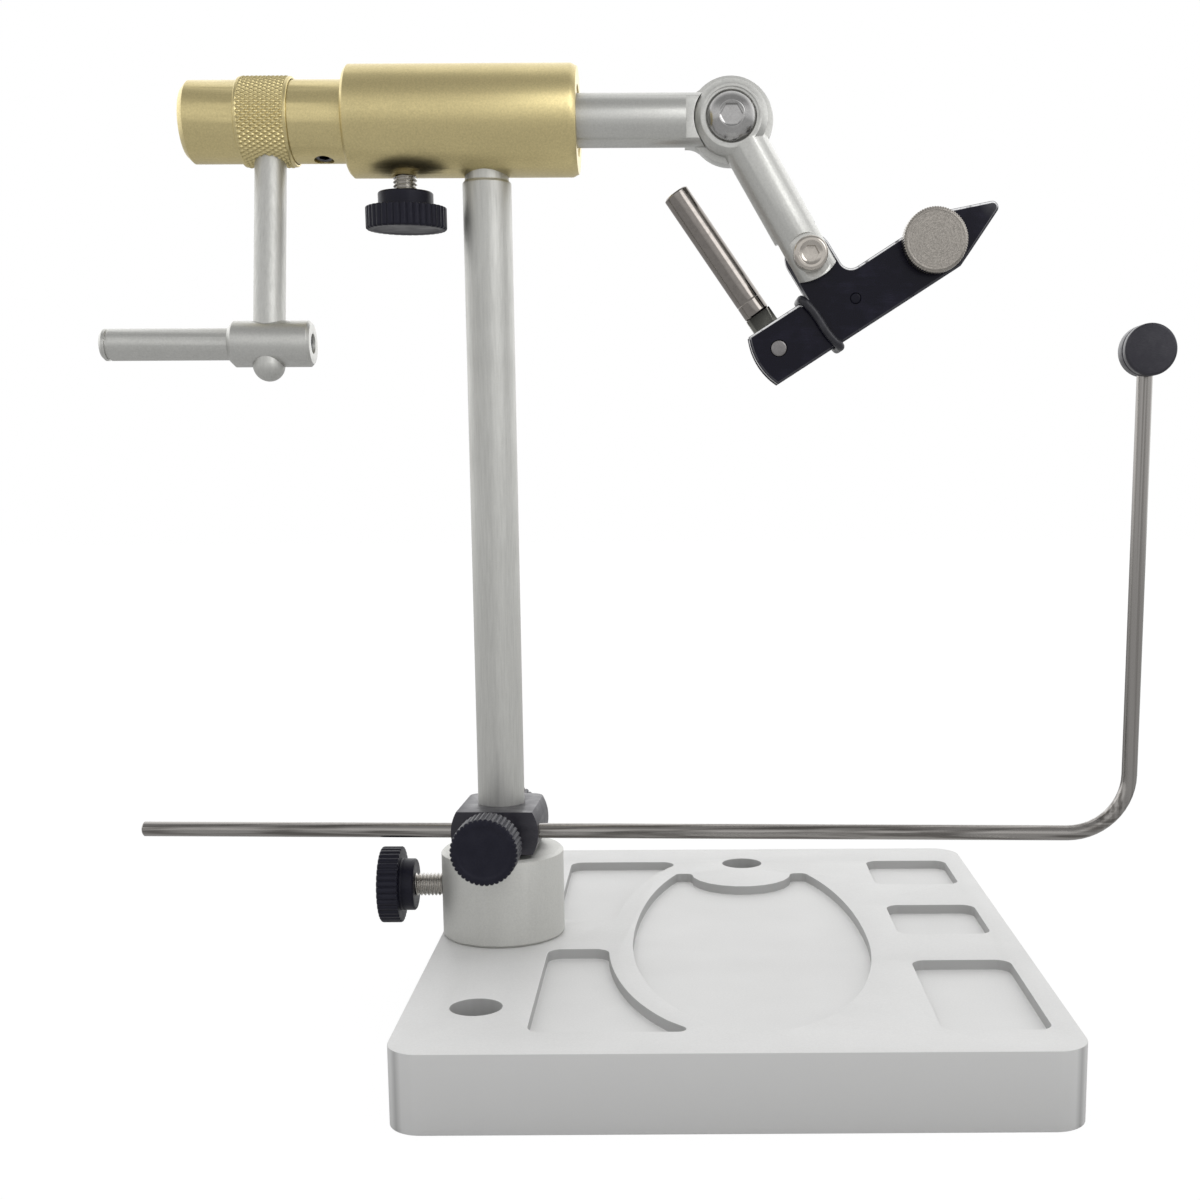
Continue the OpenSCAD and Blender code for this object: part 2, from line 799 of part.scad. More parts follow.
module brake_pad() {
    color("WhiteSmoke") difference() {
        translate([post_x - brake_offset, 0, 0])
            cylinder_from(pad_d, axis_h - pad_out, axis_h);
        at_axis() bar_x(shaft_d + 2 * run, barrel_x0, barrel_x1);
    }
}

// Outline of the shaft's ear about the elbow, with a fillet where it meets its neck
module ear_outline() {
    r = shaft_ear_d / 2;
    fillet_x = -sqrt(pow(r + ear_fillet, 2) - pow(shaft_lap + ear_fillet, 2));
    sweep = atan2(-fillet_x, shaft_lap + ear_fillet);
    side = concat(
        [[-lap_step - fine_edge, shaft_lap]],
        [for (i = [0 : corner_steps - 1])
            let (a = sweep * i / corner_steps)
            [fillet_x + ear_fillet * sin(a), shaft_lap + ear_fillet * (1 - cos(a))]],
        [(r - fine_edge) * [-sin(sweep), cos(sweep)]]
    );
    circle(r = r);
    polygon(concat(side, [for (i = [len(side) - 1 : -1 : 0]) [side[i][0], -side[i][1]]]));
}

// Round shaft with a flat on its neck and a round seat for the arm's ear
module shaft() {
    color("Silver") difference() {
        union() {
            at_axis() bar_x(shaft_d, hub_x1, elbow_x - neck_in);
            at_axis() translate([hub_x1 - spigot_l, 0, 0]) rotate([0, 90, 0])
                turned_bar(spigot_d, 0, spigot_l + edge + fine_edge, fine_edge);
            at_elbow() plate_y(run, shaft_lap) ear_outline();
        }
        at_elbow() bar_y(elbow_screw_d + 2 * snug, -over, shaft_d);
        at_elbow() bar_y(arm_ear_d + 2 * ear_seat_gap, -shaft_d, run);
        at_elbow() translate([-lap_step, -shaft_d, -shaft_d])
            cube([2 * lap_step, shaft_d - neck_flat, 2 * shaft_d]);
    }
}

module rear_hub() {
    r = hub_d / 2;
    band_r = band_d / 2;
    neck = hub_l - hub_neck;
    color([0.80, 0.70, 0.46]) difference() {
        at_axis() translate([hub_x0, 0, 0]) rotate([0, 90, 0]) rotate_extrude() polygon([
            [0, 0], [r - 2 * edge, 0], [r, 2 * edge], [r, neck - band_w],
            [band_r - fine_edge, neck - band_w], [band_r, neck - band_w + fine_edge],
            [band_r, neck - fine_edge], [band_r - fine_edge, neck], [r, neck],
            [r, hub_l - fine_edge], [r - fine_edge, hub_l], [0, hub_l]
        ]);
        at_axis() bar_x(spigot_d + 2 * snug, hub_x1 - spigot_l - snug, hub_x1 + over);
        at_crank() cylinder_from(crank_d + 2 * snug, -crank_past, band_d);
        at_hub_grub() cylinder(d = grub_d + 2 * snug, h = hub_d);
    }
}

// The grub screw stands on the shaft's spigot and points the way the crank arm does
module at_hub_grub() {
    at_crank() translate([hub_x1 - hub_grub_s - crank_x, 0, spigot_d / 2 + run]) children();
}

// A grub screw of length l with its socket at the far end
module grub(l) {
    difference() {
        turned_bar(grub_d, 0, l, fine_edge);
        translate([0, 0, l]) hex_cut(grub_hex, grub_hex_depth);
    }
}

module hub_grub() {
    color("DimGray") at_hub_grub() grub((hub_d - spigot_d) / 2 - run - grub_sink - fine_edge);
}

module crank_arm() {
    r = crank_d / 2;
    end = crank_reach + crank_tail;
    dome = r * crank_dome_share;
    dome_r = (r * r + dome * dome) / (2 * dome);
    color("Silver") at_crank() intersection() {
        turned_bar(crank_d, snug - crank_past, end, snug);
        translate([0, 0, end - dome_r]) union() {
            sphere(r = dome_r);
            cylinder_from(crank_d + over, -end - crank_past, 0);
        }
    }
}

// The handle's frame: the crank arm crosses it at the origin, and +X runs to the right
module at_handle() {
    at_crank() translate([0, 0, crank_reach]) children();
}

module crank_handle() {
    left = handle_hub_l - handle_right;
    shoulder_r = handle_hub_d / 2;
    thin_r = handle_d / 2;
    groove_r = thin_r - handle_groove;
    groove = handle_groove_in + handle_groove_w;
    color("Silver") at_handle() difference() {
        translate([-left, 0, 0]) rotate([0, 90, 0]) rotate_extrude() polygon([
            [0, -handle_l], [thin_r - edge, -handle_l], [thin_r, edge - handle_l],
            [thin_r, handle_groove_in - handle_l], [groove_r, handle_groove_in - handle_l],
            [groove_r, groove - handle_l], [thin_r, groove - handle_l], [thin_r, 0],
            [shoulder_r - handle_shoulder, 0], [shoulder_r, handle_shoulder],
            [shoulder_r, handle_hub_l - edge], [shoulder_r - edge, handle_hub_l], [0, handle_hub_l]
        ]);
        cylinder_from(crank_d + 2 * snug, -handle_hub_d, handle_hub_d);
        bar_x(grub_d + 2 * snug, 0, handle_right + over);
    }
}

module handle_grub() {
    start = crank_d / 2 + run;
    color("DimGray") at_handle() translate([start, 0, 0]) rotate([0, 90, 0])
        grub(handle_right - start - grub_sink - fine_edge);
}

// Elbow and arm

module arm() {
    ear_r = arm_ear_d / 2;
    lap_y = jaw_y0 - run;
    round_end = arm_l - tab_w / 2 - tab_room;
    end_x = arm_l + arm_tip - arm_end_r;
    color("LightGray") at_arm() difference() {
        union() {
            rotate([90, 0, 0]) rotate_extrude() polygon([
                [0, run], [ear_r, run], [ear_r, arm_ear_t - arm_ear_chamfer],
                [ear_r - arm_ear_chamfer, arm_ear_t], [0, arm_ear_t]
            ]);
            intersection() {
                bar_x(arm_d, 0, arm_full + snug);
                translate([0, -arm_d, -arm_d]) cube([arm_full + over, arm_d - run, 2 * arm_d]);
            }
            bar_x(arm_d, arm_full, round_end);
            intersection() {
                bar_x(arm_d, round_end - snug, arm_l + arm_tip);
                translate([end_x, 0, 0]) plate_y(-arm_d, lap_y) circle(r = arm_end_r);
            }
        }
        bar_y(elbow_screw_d + 2 * run, -arm_d, over);
        bar_y(elbow_spot_d, -arm_d, elbow_spot - arm_ear_t);
        translate([arm_l, 0, 0]) bar_y(tilt_screw_d + 2 * run, -arm_d, arm_d);
        translate([arm_l, 0, 0]) bar_y(tilt_spot_d, -arm_d, tilt_spot - arm_d / 2);
    }
}

// Button head screw, with its head on the arm's ear
module elbow_screw() {
    seat = elbow_spot - arm_ear_t;
    r = button_d / 2;
    sink = (r * r + button_h * button_h) / (2 * button_h);
    color("Gainsboro") at_elbow() difference() {
        union() {
            translate([0, seat, 0]) rotate([90, 0, 0]) intersection() {
                cylinder(d = button_d, h = button_h - fine_edge);
                translate([0, 0, button_h - sink]) sphere(r = sink);
            }
            bar_y(elbow_screw_d, seat - fine_edge, shaft_lap - elbow_thread_short);
        }
        translate([0, seat - button_h + fine_edge, 0]) rotate([90, 0, 0])
            hex_cut(button_hex, button_hex_depth);
    }
}

// Socket cap screw through the arm's lower lap, threaded in the fixed jaw's tab
module tilt_screw() {
    seat = tilt_spot - arm_d / 2;
    color("Gainsboro") translate([pivot_x, 0, pivot_z]) difference() {
        union() {
            translate([0, seat, 0]) rotate([90, 0, 0]) turned_bar(cap_d, 0, cap_h, fine_edge);
            bar_y(tilt_screw_d, seat - fine_edge, jaw_y1 - snug);
        }
        translate([0, seat - cap_h, 0]) rotate([90, 0, 0]) hex_cut(cap_hex, cap_hex_depth);
    }
}

// Jaws

// Point where a line from p touches a circle of radius r about c, on the given side
function touch(p, c, r, side) =
    let (d = norm(c - p), a = atan2(c[1] - p[1], c[0] - p[0]) + side * asin(r / d))
    p + sqrt(d * d - r * r) * [cos(a), sin(a)];

module jaw_outline() {
    upper = [jaw_reach - jaw_top_corner, jaw_up];
    lower = [jaw_reach - jaw_low_corner, -jaw_down];
    nose = [jaw_reach - nose_r, nose_up];
    middle = (jaw_up - jaw_down) / 2;
    polygon([[0, jaw_up], upper, touch(upper, nose, nose_r, 1), nose,
             touch(lower, nose, nose_r, -1), lower, [0, -jaw_down]]);
    translate(nose) circle(r = nose_r);
    intersection() {
        translate([-jaw_back, -jaw_down]) square([jaw_back + snug, jaw_up + jaw_down]);
        translate([jaw_rear_r - jaw_back, middle]) circle(r = jaw_rear_r);
    }
}

// Wedge that thins a jaw's outer face towards the tip, with the face at y = 0
module tip_cut() {
    slope = atan(tip_thin / tip_slope_l);
    translate([jaw_reach - tip_slope_l, 0, 0]) rotate([0, 0, slope])
        translate([0, -jaw_reach, -jaw_reach]) cube([jaw_reach, jaw_reach, 2 * jaw_reach]);
}

// Front part of the outline, where the jaws meet
module nose_outline() {
    intersection() {
        jaw_outline();
        translate([jaw_reach - nose_l, -jaw_down]) square([nose_l, jaw_up + jaw_down]);
    }
}

// Grooves for the rubber ring across both edges
module ring_grooves() {
    for (z = [jaw_up + ring_cord / 2 - ring_sink, -jaw_down - ring_cord / 2 + ring_sink])
        translate([ring_x(z), 0, z]) bar_y(ring_cord + 2 * side_gap, jaw_y0 - over, jaw_y3 + over);
}

function ring_x(z) = ring_s - z * tan(ring_lean);

module tab_outline() {
    translate([tab_s, tilt_up]) circle(d = tab_w);
    translate([tab_s - tab_w / 2, jaw_up - over]) square([tab_w, tilt_up - jaw_up + over]);
    difference() {
        translate([tab_s, jaw_up - over]) square([tab_w / 2 + tab_fillet, tab_fillet + over]);
        translate([tab_s + tab_w / 2 + tab_fillet, jaw_up + tab_fillet]) circle(r = tab_fillet);
    }
}

module fixed_jaw() {
    color([0.15, 0.15, 0.17]) at_jaws() difference() {
        union() {
            difference() {
                plate_y(jaw_y0, jaw_y1) {
                    jaw_outline();
                    tab_outline();
                }
                translate([0, jaw_y0, 0]) tip_cut();
            }
            plate_y(jaw_y1 - snug, jaw_mid - nose_touch) nose_outline();
        }
        bar_y(cam_pin_d + 2 * snug, jaw_y0 - over, jaw_y1 + over);
        translate([guide_pin_s, 0, 0]) bar_y(guide_pin_d + 2 * snug, jaw_y0 - over, jaw_y1 + over);
        translate([adjuster_s, 0, adjuster_up])
            bar_y(adjuster_thread + 2 * run, jaw_y0 - over, jaw_y1 + over);
        translate([tab_s, 0, tilt_up]) bar_y(tilt_screw_d + 2 * snug, jaw_y0 - over, jaw_y1 + over);
        ring_grooves();
    }
}

module moving_jaw() {
    color([0.15, 0.15, 0.17]) at_jaws() difference() {
        union() {
            difference() {
                plate_y(jaw_y2, jaw_y3) jaw_outline();
                translate([0, jaw_y3, 0]) mirror([0, 1, 0]) tip_cut();
                translate([-jaw_back - over, jaw_y2 - over, -jaw_down - over])
                    cube([jaw_back + over + recess_s, recess_t + over, jaw_up + jaw_down + 2 * over]);
            }
            plate_y(jaw_mid + nose_touch, jaw_y2 + snug) nose_outline();
            translate([0, 0, -cam_pad_r]) bar_y(cam_pad_d, pad_y + cam_pad_d / 2, recess_y + snug);
            translate([0, pad_y + cam_pad_d / 2, -cam_pad_r]) sphere(d = cam_pad_d);
        }
        bar_y(cam_pin_d + 2 * pin_room, jaw_y2 - over, jaw_y3 + over);
        translate([guide_pin_s, 0, 0]) bar_y(guide_pin_d + 2 * pin_room, jaw_y2 - over, jaw_y3 + over);
        translate([adjuster_s, 0, adjuster_up])
            bar_y(adjuster_thread + 2 * side_gap, jaw_y2 - over, jaw_y3 + over);
        ring_grooves();
    }
}

module cam_pin() {
    color("Gray") at_jaws() bar_y(cam_pin_d, jaw_y0, jaw_y3);
}

module guide_pin() {
    color([0.2, 0.2, 0.22]) at_jaws() translate([guide_pin_s, 0, 0])
        bar_y(guide_pin_d, jaw_y0 + run, jaw_y3);
}

// Face cam: a disc with one slanted face, on a flat tongue at the end of a round lever
module cam_lever() {
    foot = cam_d * tongue_foot_share;
    color("Silver") at_jaws() difference() {
        union() {
            intersection() {
                bar_y(cam_d, cam_y, recess_y);
                rotate([0, 90 - cam_phase, 0]) translate([0, cam_mid_y, 0]) rotate([0, 0, cam_tilt])
                    translate([-cam_d, -cam_d, -cam_d]) cube([2 * cam_d, cam_d, 2 * cam_d]);
            }
            translate([lever_shift, 0, 0]) rotate([0, -lever_lean, 0]) {
                intersection() {
                    translate([-lever_d / 2, cam_y, foot])
                        cube([lever_d, tongue_t, tongue_root - foot + snug]);
                    translate([0, jaw_mid, 0]) cylinder_from(lever_d + fine_edge, 0, lever_l);
                }
                translate([0, jaw_mid, 0]) turned_bar(lever_d, tongue_root, lever_l, edge);
            }
        }
        bar_y(cam_pin_d + 2 * run, jaw_y0, jaw_y3);
    }
}

// Knurled head against the fixed jaw, threaded in the moving jaw
module adjusting_screw() {
    face = jaw_y0 - run;
    color("Silver") at_jaws() translate([adjuster_s, 0, adjuster_up]) {
        intersection() {
            plate_y(face - adjuster_t, face) ribbed(adjuster_d, adjuster_rib, adjuster_ribs);
            translate([0, face, 0]) rotate([90, 0, 0])
                turned_bar(adjuster_d, 0, adjuster_t, fine_edge);
        }
        bar_y(adjuster_thread, face - fine_edge, jaw_y3 - edge);
    }
}

// Rubber ring stretched round both jaws: four straight stretches and four bends
module jaw_ring() {
    r = ring_cord / 2;
    top = jaw_up + r - ring_sink + side_gap / 2;
    low = -jaw_down - r + ring_sink - side_gap / 2;
    front = jaw_y0 - r - ring_room;
    back = jaw_y3 + r + ring_room;
    c = ring_corner;
    color([0.1, 0.1, 0.1]) at_jaws() translate([ring_s, 0, 0]) rotate([0, -ring_lean, 0]) {
        for (z = [top, low])
            translate([0, 0, z]) bar_y(ring_cord, front + c - snug, back - c + snug);
        for (y = [front, back])
            translate([0, y, 0]) cylinder_from(ring_cord, low + c - snug, top - c + snug);
        for (p = [[back - c, top - c, 0], [front + c, top - c, 90],
                  [front + c, low + c, 180], [back - c, low + c, 270]])
            translate([0, p[0], p[1]]) rotate([p[2], 0, 0]) rotate([0, 90, 0])
                rotate([0, 0, 90]) rotate_extrude(angle = 90) translate([c, 0]) circle(d = ring_cord);
    }
}

base_plate();
base_screw();
post_holder();
holder_knob();
holder_stud();
post();
clamp_block();
front_clamp_knob();
front_clamp_stud();
rear_clamp_knob();
rear_clamp_stud();
rest_rod();
thread_disc_back();
thread_disc_front();
thread_disc_rivet();
barrel();
front_bush();
rear_bush();
brake_knob();
brake_stud();
brake_pad();
shaft();
rear_hub();
hub_grub();
crank_arm();
crank_handle();
handle_grub();
arm();
elbow_screw();
tilt_screw();
fixed_jaw();
moving_jaw();
cam_pin();
guide_pin();
cam_lever();
adjusting_screw();
jaw_ring();
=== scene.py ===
import json
import math

import bmesh
import bpy
import numpy as np
from mathutils import Matrix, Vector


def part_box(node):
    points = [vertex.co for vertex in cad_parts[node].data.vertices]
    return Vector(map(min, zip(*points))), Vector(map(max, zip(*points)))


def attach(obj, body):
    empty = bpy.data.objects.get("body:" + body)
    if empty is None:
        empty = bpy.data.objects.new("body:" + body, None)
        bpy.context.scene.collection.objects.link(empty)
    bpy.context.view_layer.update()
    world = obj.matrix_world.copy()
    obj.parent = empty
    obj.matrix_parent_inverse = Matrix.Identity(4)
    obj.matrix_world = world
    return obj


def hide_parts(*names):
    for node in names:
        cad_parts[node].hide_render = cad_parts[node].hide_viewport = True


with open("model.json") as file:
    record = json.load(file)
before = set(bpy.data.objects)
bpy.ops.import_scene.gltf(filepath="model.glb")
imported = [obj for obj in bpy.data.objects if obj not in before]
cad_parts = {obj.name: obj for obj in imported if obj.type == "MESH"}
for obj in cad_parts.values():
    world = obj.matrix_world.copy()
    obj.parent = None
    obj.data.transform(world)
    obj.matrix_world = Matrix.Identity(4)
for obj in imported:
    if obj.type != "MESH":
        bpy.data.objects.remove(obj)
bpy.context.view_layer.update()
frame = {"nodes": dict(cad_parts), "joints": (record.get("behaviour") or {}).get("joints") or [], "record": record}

# All sizes below are in millimetres; MM turns them into Blender's metres
MM = 0.001
TURN = 2 * math.pi

NODES = frame["nodes"]
JOINTS = {joint["name"]: joint for joint in frame["joints"]}
BODIES = frame["record"]["behaviour"]["bodies"]
BODY_OF = {node: body for body, nodes in BODIES.items() for node in nodes}
SLOT_OF = {part["node"]: part["material_slot"] for part in frame["record"]["subparts"]}

X_RAY = (1.0, 0.0, 0.0)
Y_RAY = (0.0, 1.0, 0.0)
Z_RAY = (0.0, 0.0, 1.0)
# Keeps the part of a place that lies across the pins, which run along Y
ACROSS_Y = (1.0, 0.0, 1.0)

# Both jaws rise towards +X by this angle
JAW_SLOPE = math.radians(32.3)
JAW_ALONG = np.array([math.cos(JAW_SLOPE), 0.0, math.sin(JAW_SLOPE)])

# Points nearer to each other than this, in metres, are one point
SAME_PLACE = 1e-7


def middle(node):
    """The middle of a CAD node's box, in metres."""
    return 0.5 * (np.array(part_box(node)[0]) + np.array(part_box(node)[1]))


# Camera, at the place that the photograph was taken from

PHOTO_PIXELS = 1200
FOCAL_PIXELS = 1616.56
CENTRE_PIXEL = (684.55, 718.60)
SENSOR = 36.0
CLIP_START = 10.0
CAMERA_PLACE = (-9.382, -344.654, 117.173)
CAMERA_PITCH = math.radians(-9.053)
CAMERA_ROLL = math.radians(-0.304)
CAMERA_YAW = math.radians(0.052)


def add_camera():
    """The camera of the photograph: it looks along +Y, pitched down and rolled a little."""
    forward = np.array([math.sin(CAMERA_YAW) * math.cos(CAMERA_PITCH),
                        math.cos(CAMERA_YAW) * math.cos(CAMERA_PITCH),
                        math.sin(CAMERA_PITCH)])
    level = np.array([math.cos(CAMERA_YAW), -math.sin(CAMERA_YAW), 0.0])
    upright = np.cross(level, forward)
    right = math.cos(CAMERA_ROLL) * level + math.sin(CAMERA_ROLL) * upright
    up = -math.sin(CAMERA_ROLL) * level + math.cos(CAMERA_ROLL) * upright
    data = bpy.data.cameras.new("camera")
    data.sensor_width = SENSOR
    data.lens = FOCAL_PIXELS / PHOTO_PIXELS * SENSOR
    data.shift_x = 0.5 - CENTRE_PIXEL[0] / PHOTO_PIXELS
    data.shift_y = CENTRE_PIXEL[1] / PHOTO_PIXELS - 0.5
    data.clip_start = CLIP_START * MM
    camera = bpy.data.objects.new("camera", data)
    bpy.context.collection.objects.link(camera)
    pose = np.eye(4)
    pose[:3, 0], pose[:3, 1], pose[:3, 2] = right, up, -forward
    pose[:3, 3] = np.array(CAMERA_PLACE) * MM
    camera.matrix_world = Matrix(pose.tolist())
    bpy.context.scene.camera = camera


# Shader maths

class Wire:
    """One output socket of a node tree, so that maths on it reads as plain Python."""

    def __init__(self, owner, socket):
        self.owner = owner
        self.socket = socket

    def __add__(self, other):
        return self.owner.math("ADD", self, other)

    def __sub__(self, other):
        return self.owner.math("SUBTRACT", self, other)

    def __mul__(self, other):
        return self.owner.math("MULTIPLY", self, other)

    def __rsub__(self, other):
        return self.owner.math("SUBTRACT", other, self)

    __radd__ = __add__
    __rmul__ = __mul__


class Nodes:
    """A node tree that nodes are added to: their settings first, then their inputs."""

    def __init__(self, tree):
        self.tree = tree

    def fill(self, socket, value):
        """Links a wire to an input, or sets the input's own value."""
        if isinstance(value, Wire):
            self.tree.links.new(value.socket, socket)
        else:
            socket.default_value = value

    def node(self, kind, settings=None, inputs=None, output=0):
        """Adds a node and gives back one of its outputs."""
        node = self.tree.nodes.new(kind)
        for name, value in (settings or {}).items():
            setattr(node, name, value)
        for name, value in (inputs or {}).items():
            self.fill(node.inputs[name], value)
        return Wire(self, node.outputs[output])

    def math(self, operation, a, b):
        """One Math node on two wires or numbers."""
        return self.node("ShaderNodeMath", {"operation": operation}, {0: a, 1: b})

    def steps(self, wire, low, high):
        """Maps low to 0 and high to 1, and clamps; low may be the larger."""
        return self.node("ShaderNodeMapRange", {"clamp": True},
                         {"Value": wire, "From Min": low, "From Max": high})

    def share(self, wire, direction):
        """The part of a vector that points in a fixed direction."""
        return self.node("ShaderNodeVectorMath", {"operation": "DOT_PRODUCT"},
                         {0: wire, 1: direction}, output="Value")

    def distance(self, wire, point):
        """How far a place is from a fixed point."""
        return self.node("ShaderNodeVectorMath", {"operation": "DISTANCE"},
                         {0: wire, 1: point}, output="Value")

    def rays(self):
        """Whether a ray comes from the camera, off a glossy surface or through a clear one."""
        camera = self.node("ShaderNodeLightPath", output="Is Camera Ray")
        outputs = camera.socket.node.outputs
        return camera, Wire(self, outputs["Is Glossy Ray"]), Wire(self, outputs["Is Transmission Ray"])


class Finish(Nodes):
    """A material on the Principled shader. Uniform values sit on the shader's own sockets."""

    def __init__(self, name, color, roughness, metallic=0.0, **sockets):
        self.material = bpy.data.materials.new(name)
        self.material.use_nodes = True
        super().__init__(self.material.node_tree)
        self.shader = self.tree.nodes["Principled BSDF"]
        self.color = (*color, 1.0)
        self.put("Base Color", self.color)
        self.put("Roughness", roughness)
        self.put("Metallic", metallic)
        for socket, value in sockets.items():
            self.put(socket.replace("_", " "), value)
        self.material.diffuse_color = self.color

    def put(self, socket, value):
        """Sets or links one input of the shader."""
        self.fill(self.shader.inputs[socket], value)

    def where(self):
        """The place on the piece, in metres."""
        return self.node("ShaderNodeTexCoord", output="Object")

    def noise(self, size, detail=3.0, rough=0.55, stretch=(1.0, 1.0, 1.0), turn=(0.0, 0.0, 0.0)):
        """Soft noise from 0 to 1, with spots of about the given size in millimetres. A stretch
        under 1 draws the spots out along that axis, after the turn."""
        place = self.node("ShaderNodeMapping", None, {
            "Vector": self.where(), "Rotation": turn, "Scale": stretch})
        return self.node("ShaderNodeTexNoise", None, {
            "Vector": place, "Scale": 1.0 / (size * MM), "Detail": detail, "Roughness": rough})

    def shade(self, mask, other):
        """Mixes the colour so far with another one by a mask."""
        self.color = self.mix(mask, self.color, other)
        self.put("Base Color", self.color)

    def mix(self, mask, one, other):
        """A colour between two others, each a wire or numbers."""
        one, other = (c if isinstance(c, Wire) else (*c[:3], 1.0) for c in (one, other))
        return self.node("ShaderNodeMix", {"data_type": "RGBA"},
                         {"Factor": mask, 6: one, 7: other}, output=2)

    def bump(self, height, depth):
        """Bump of the given depth in millimetres."""
        self.put("Normal", self.node("ShaderNodeBump", None, {
            "Height": height, "Strength": 1.0, "Distance": depth * MM}))

    def facing(self, direction):
        """1 where the surface faces a direction, and -1 where it faces away from it."""
        return self.share(self.node("ShaderNodeTexCoord", output="Normal"), direction)

    def off_axis(self, node):
        """The distance from a line along Y through the middle of a CAD node."""
        flat = self.node("ShaderNodeVectorMath", {"operation": "MULTIPLY"},
                         {0: self.where(), 1: ACROSS_Y})
        return self.distance(flat, tuple(middle(node) * np.array(ACROSS_Y)))


def scaled(color, share):
    """A colour times a share: darker under 1, and brighter over it."""
    return tuple(share * c for c in color)


# Painted shade: shares of a part's colour on its outer sides and in its pockets, where less light
# reaches. The pockets begin between these two distances inside the part's outline.
SIDE_SHADE_SHARE = 0.90
POCKET_SHADE_SHARE = 0.58
RIM_BAND = (1.0, 2.0)

# How a grain is drawn out: not at all, or along Z
BLASTED = (1.0, 1.0, 1.0)
DRAWN_UPRIGHT = (1.0, 1.0, 0.06)


def inside_rim(finish, node):
    """1 well inside a CAD node's box, seen from above, and 0 along its four sides."""
    lowest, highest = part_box(node)
    inside = 1.0
    for ray, least, most in ((X_RAY, lowest[0], highest[0]), (Y_RAY, lowest[1], highest[1])):
        along = finish.share(finish.where(), ray)
        inside = inside * finish.steps(along, least + RIM_BAND[0] * MM, least + RIM_BAND[1] * MM)
        inside = inside * finish.steps(along, most - RIM_BAND[0] * MM, most - RIM_BAND[1] * MM)
    return inside


def satin_metal(name, color, roughness, lines, metallic=1.0, depth=0.010, low=0.86, pocket_shade_node=None):
    """Blasted or brushed metal: a fine grain, drawn out where the lines say so, over faint
    clouds; the roughness follows the grain. Low is the share of the colour in the dark spots.
    The node given as the last argument gets painted shade: it is darker on its upright sides, and more so in its
    pockets."""
    finish = Finish(name, color, roughness, metallic)
    clouds = finish.noise(14.0, 2.0)
    brush = finish.noise(0.40, 3.0, 0.6, lines)
    grain = finish.noise(0.28, 2.0, 0.6)
    finish.shade(finish.steps(clouds * 0.2 + brush * 0.5 + grain * 0.3, 0.38, 0.66), scaled(color, low))
    finish.shade(finish.steps(grain, 0.62, 0.78) * 0.6, scaled(color, 1.12))
    if pocket_shade_node:
        # Painted shade: upright sides darker, and pocket walls darker still
        rise = finish.facing(Z_RAY)
        sides = finish.steps(rise * rise, 0.60, 0.15)
        pockets = inside_rim(finish, pocket_shade_node)
        finish.shade(sides, finish.mix(pockets, scaled(color, SIDE_SHADE_SHARE), scaled(color, POCKET_SHADE_SHARE)))
    finish.put("Roughness", roughness - 0.06 + finish.steps(brush * 0.6 + clouds * 0.4, 0.3, 0.7) * 0.12)
    finish.bump(brush * 0.5 + grain * 0.5, depth)
    return finish.material


def moulded_black(name):
    """Moulded black plastic: bluish black, a faint orange peel and dusty patches."""
    finish = Finish(name, (0.0060, 0.0060, 0.0150), 0.40, 0.0, Specular_IOR_Level=0.24)
    clouds = finish.noise(5.0, 3.0)
    grain = finish.noise(0.22, 2.0)
    finish.shade(finish.steps(clouds * 0.6 + grain * 0.4, 0.45, 0.8), (0.016, 0.016, 0.027))
    finish.put("Roughness", 0.34 + finish.steps(clouds, 0.3, 0.7) * 0.14)
    finish.bump(grain, 0.010)
    return finish.material


# Near the pins the jaws' edges show only this share of their wear and painted highlight; it grows
# to the whole between these distances from the pins' middles
PIN_WEAR_HIGHLIGHT_SHARE = 0.25
PIN_WEAR_HIGHLIGHT_REACH = (2.6, 3.0)


def blued_black(name, wear_and_highlight):
    """Glossy blue-black finish on steel, with hair-fine grinding lines along the jaws and a
    few greyer rubbed places. Where asked, the rounded edges, where the surface faces neither
    along nor across Y, lose the black, as part wear and part painted highlight: near white on the
    edges that face up and dark grey on those that face down. Round the pins less of it shows."""
    finish = Finish(name, (0.0030, 0.0026, 0.0095), 0.24, 0.0, Specular_IOR_Level=0.20)
    lines = finish.noise(0.9, 3.0, 0.6, (0.12, 1.0, 1.0), (0.0, JAW_SLOPE, 0.0))
    clouds = finish.noise(5.0, 3.0)
    finish.shade(finish.steps(clouds * 0.7 + lines * 0.3, 0.50, 0.78), (0.014, 0.013, 0.028))
    finish.put("Roughness", 0.18 + finish.steps(lines * 0.4 + clouds * 0.6, 0.3, 0.7) * 0.12)
    if wear_and_highlight:
        level = finish.facing(Y_RAY)
        ridge = finish.steps(level * level, 0.40, 0.52) * finish.steps(level * level, 0.99, 0.95)
        for pin in ("cam_pin", "guide_pin"):
            free = finish.steps(finish.off_axis(pin), PIN_WEAR_HIGHLIGHT_REACH[0] * MM, PIN_WEAR_HIGHLIGHT_REACH[1] * MM)
            ridge = ridge * (PIN_WEAR_HIGHLIGHT_SHARE + free * (1.0 - PIN_WEAR_HIGHLIGHT_SHARE))
        ridge = ridge * finish.steps(finish.noise(2.2, 3.0, 0.6), 0.28, 0.42)
        # Painted highlight: edges that face up are painted near white, and edges that face down dark grey
        painted_top_light = finish.steps(finish.facing(Z_RAY), -0.1, 0.3)
        finish.shade(ridge, finish.mix(painted_top_light, (0.06, 0.06, 0.07), (0.95, 0.95, 0.96)))
    finish.bump(lines, 0.004)
    return finish.material


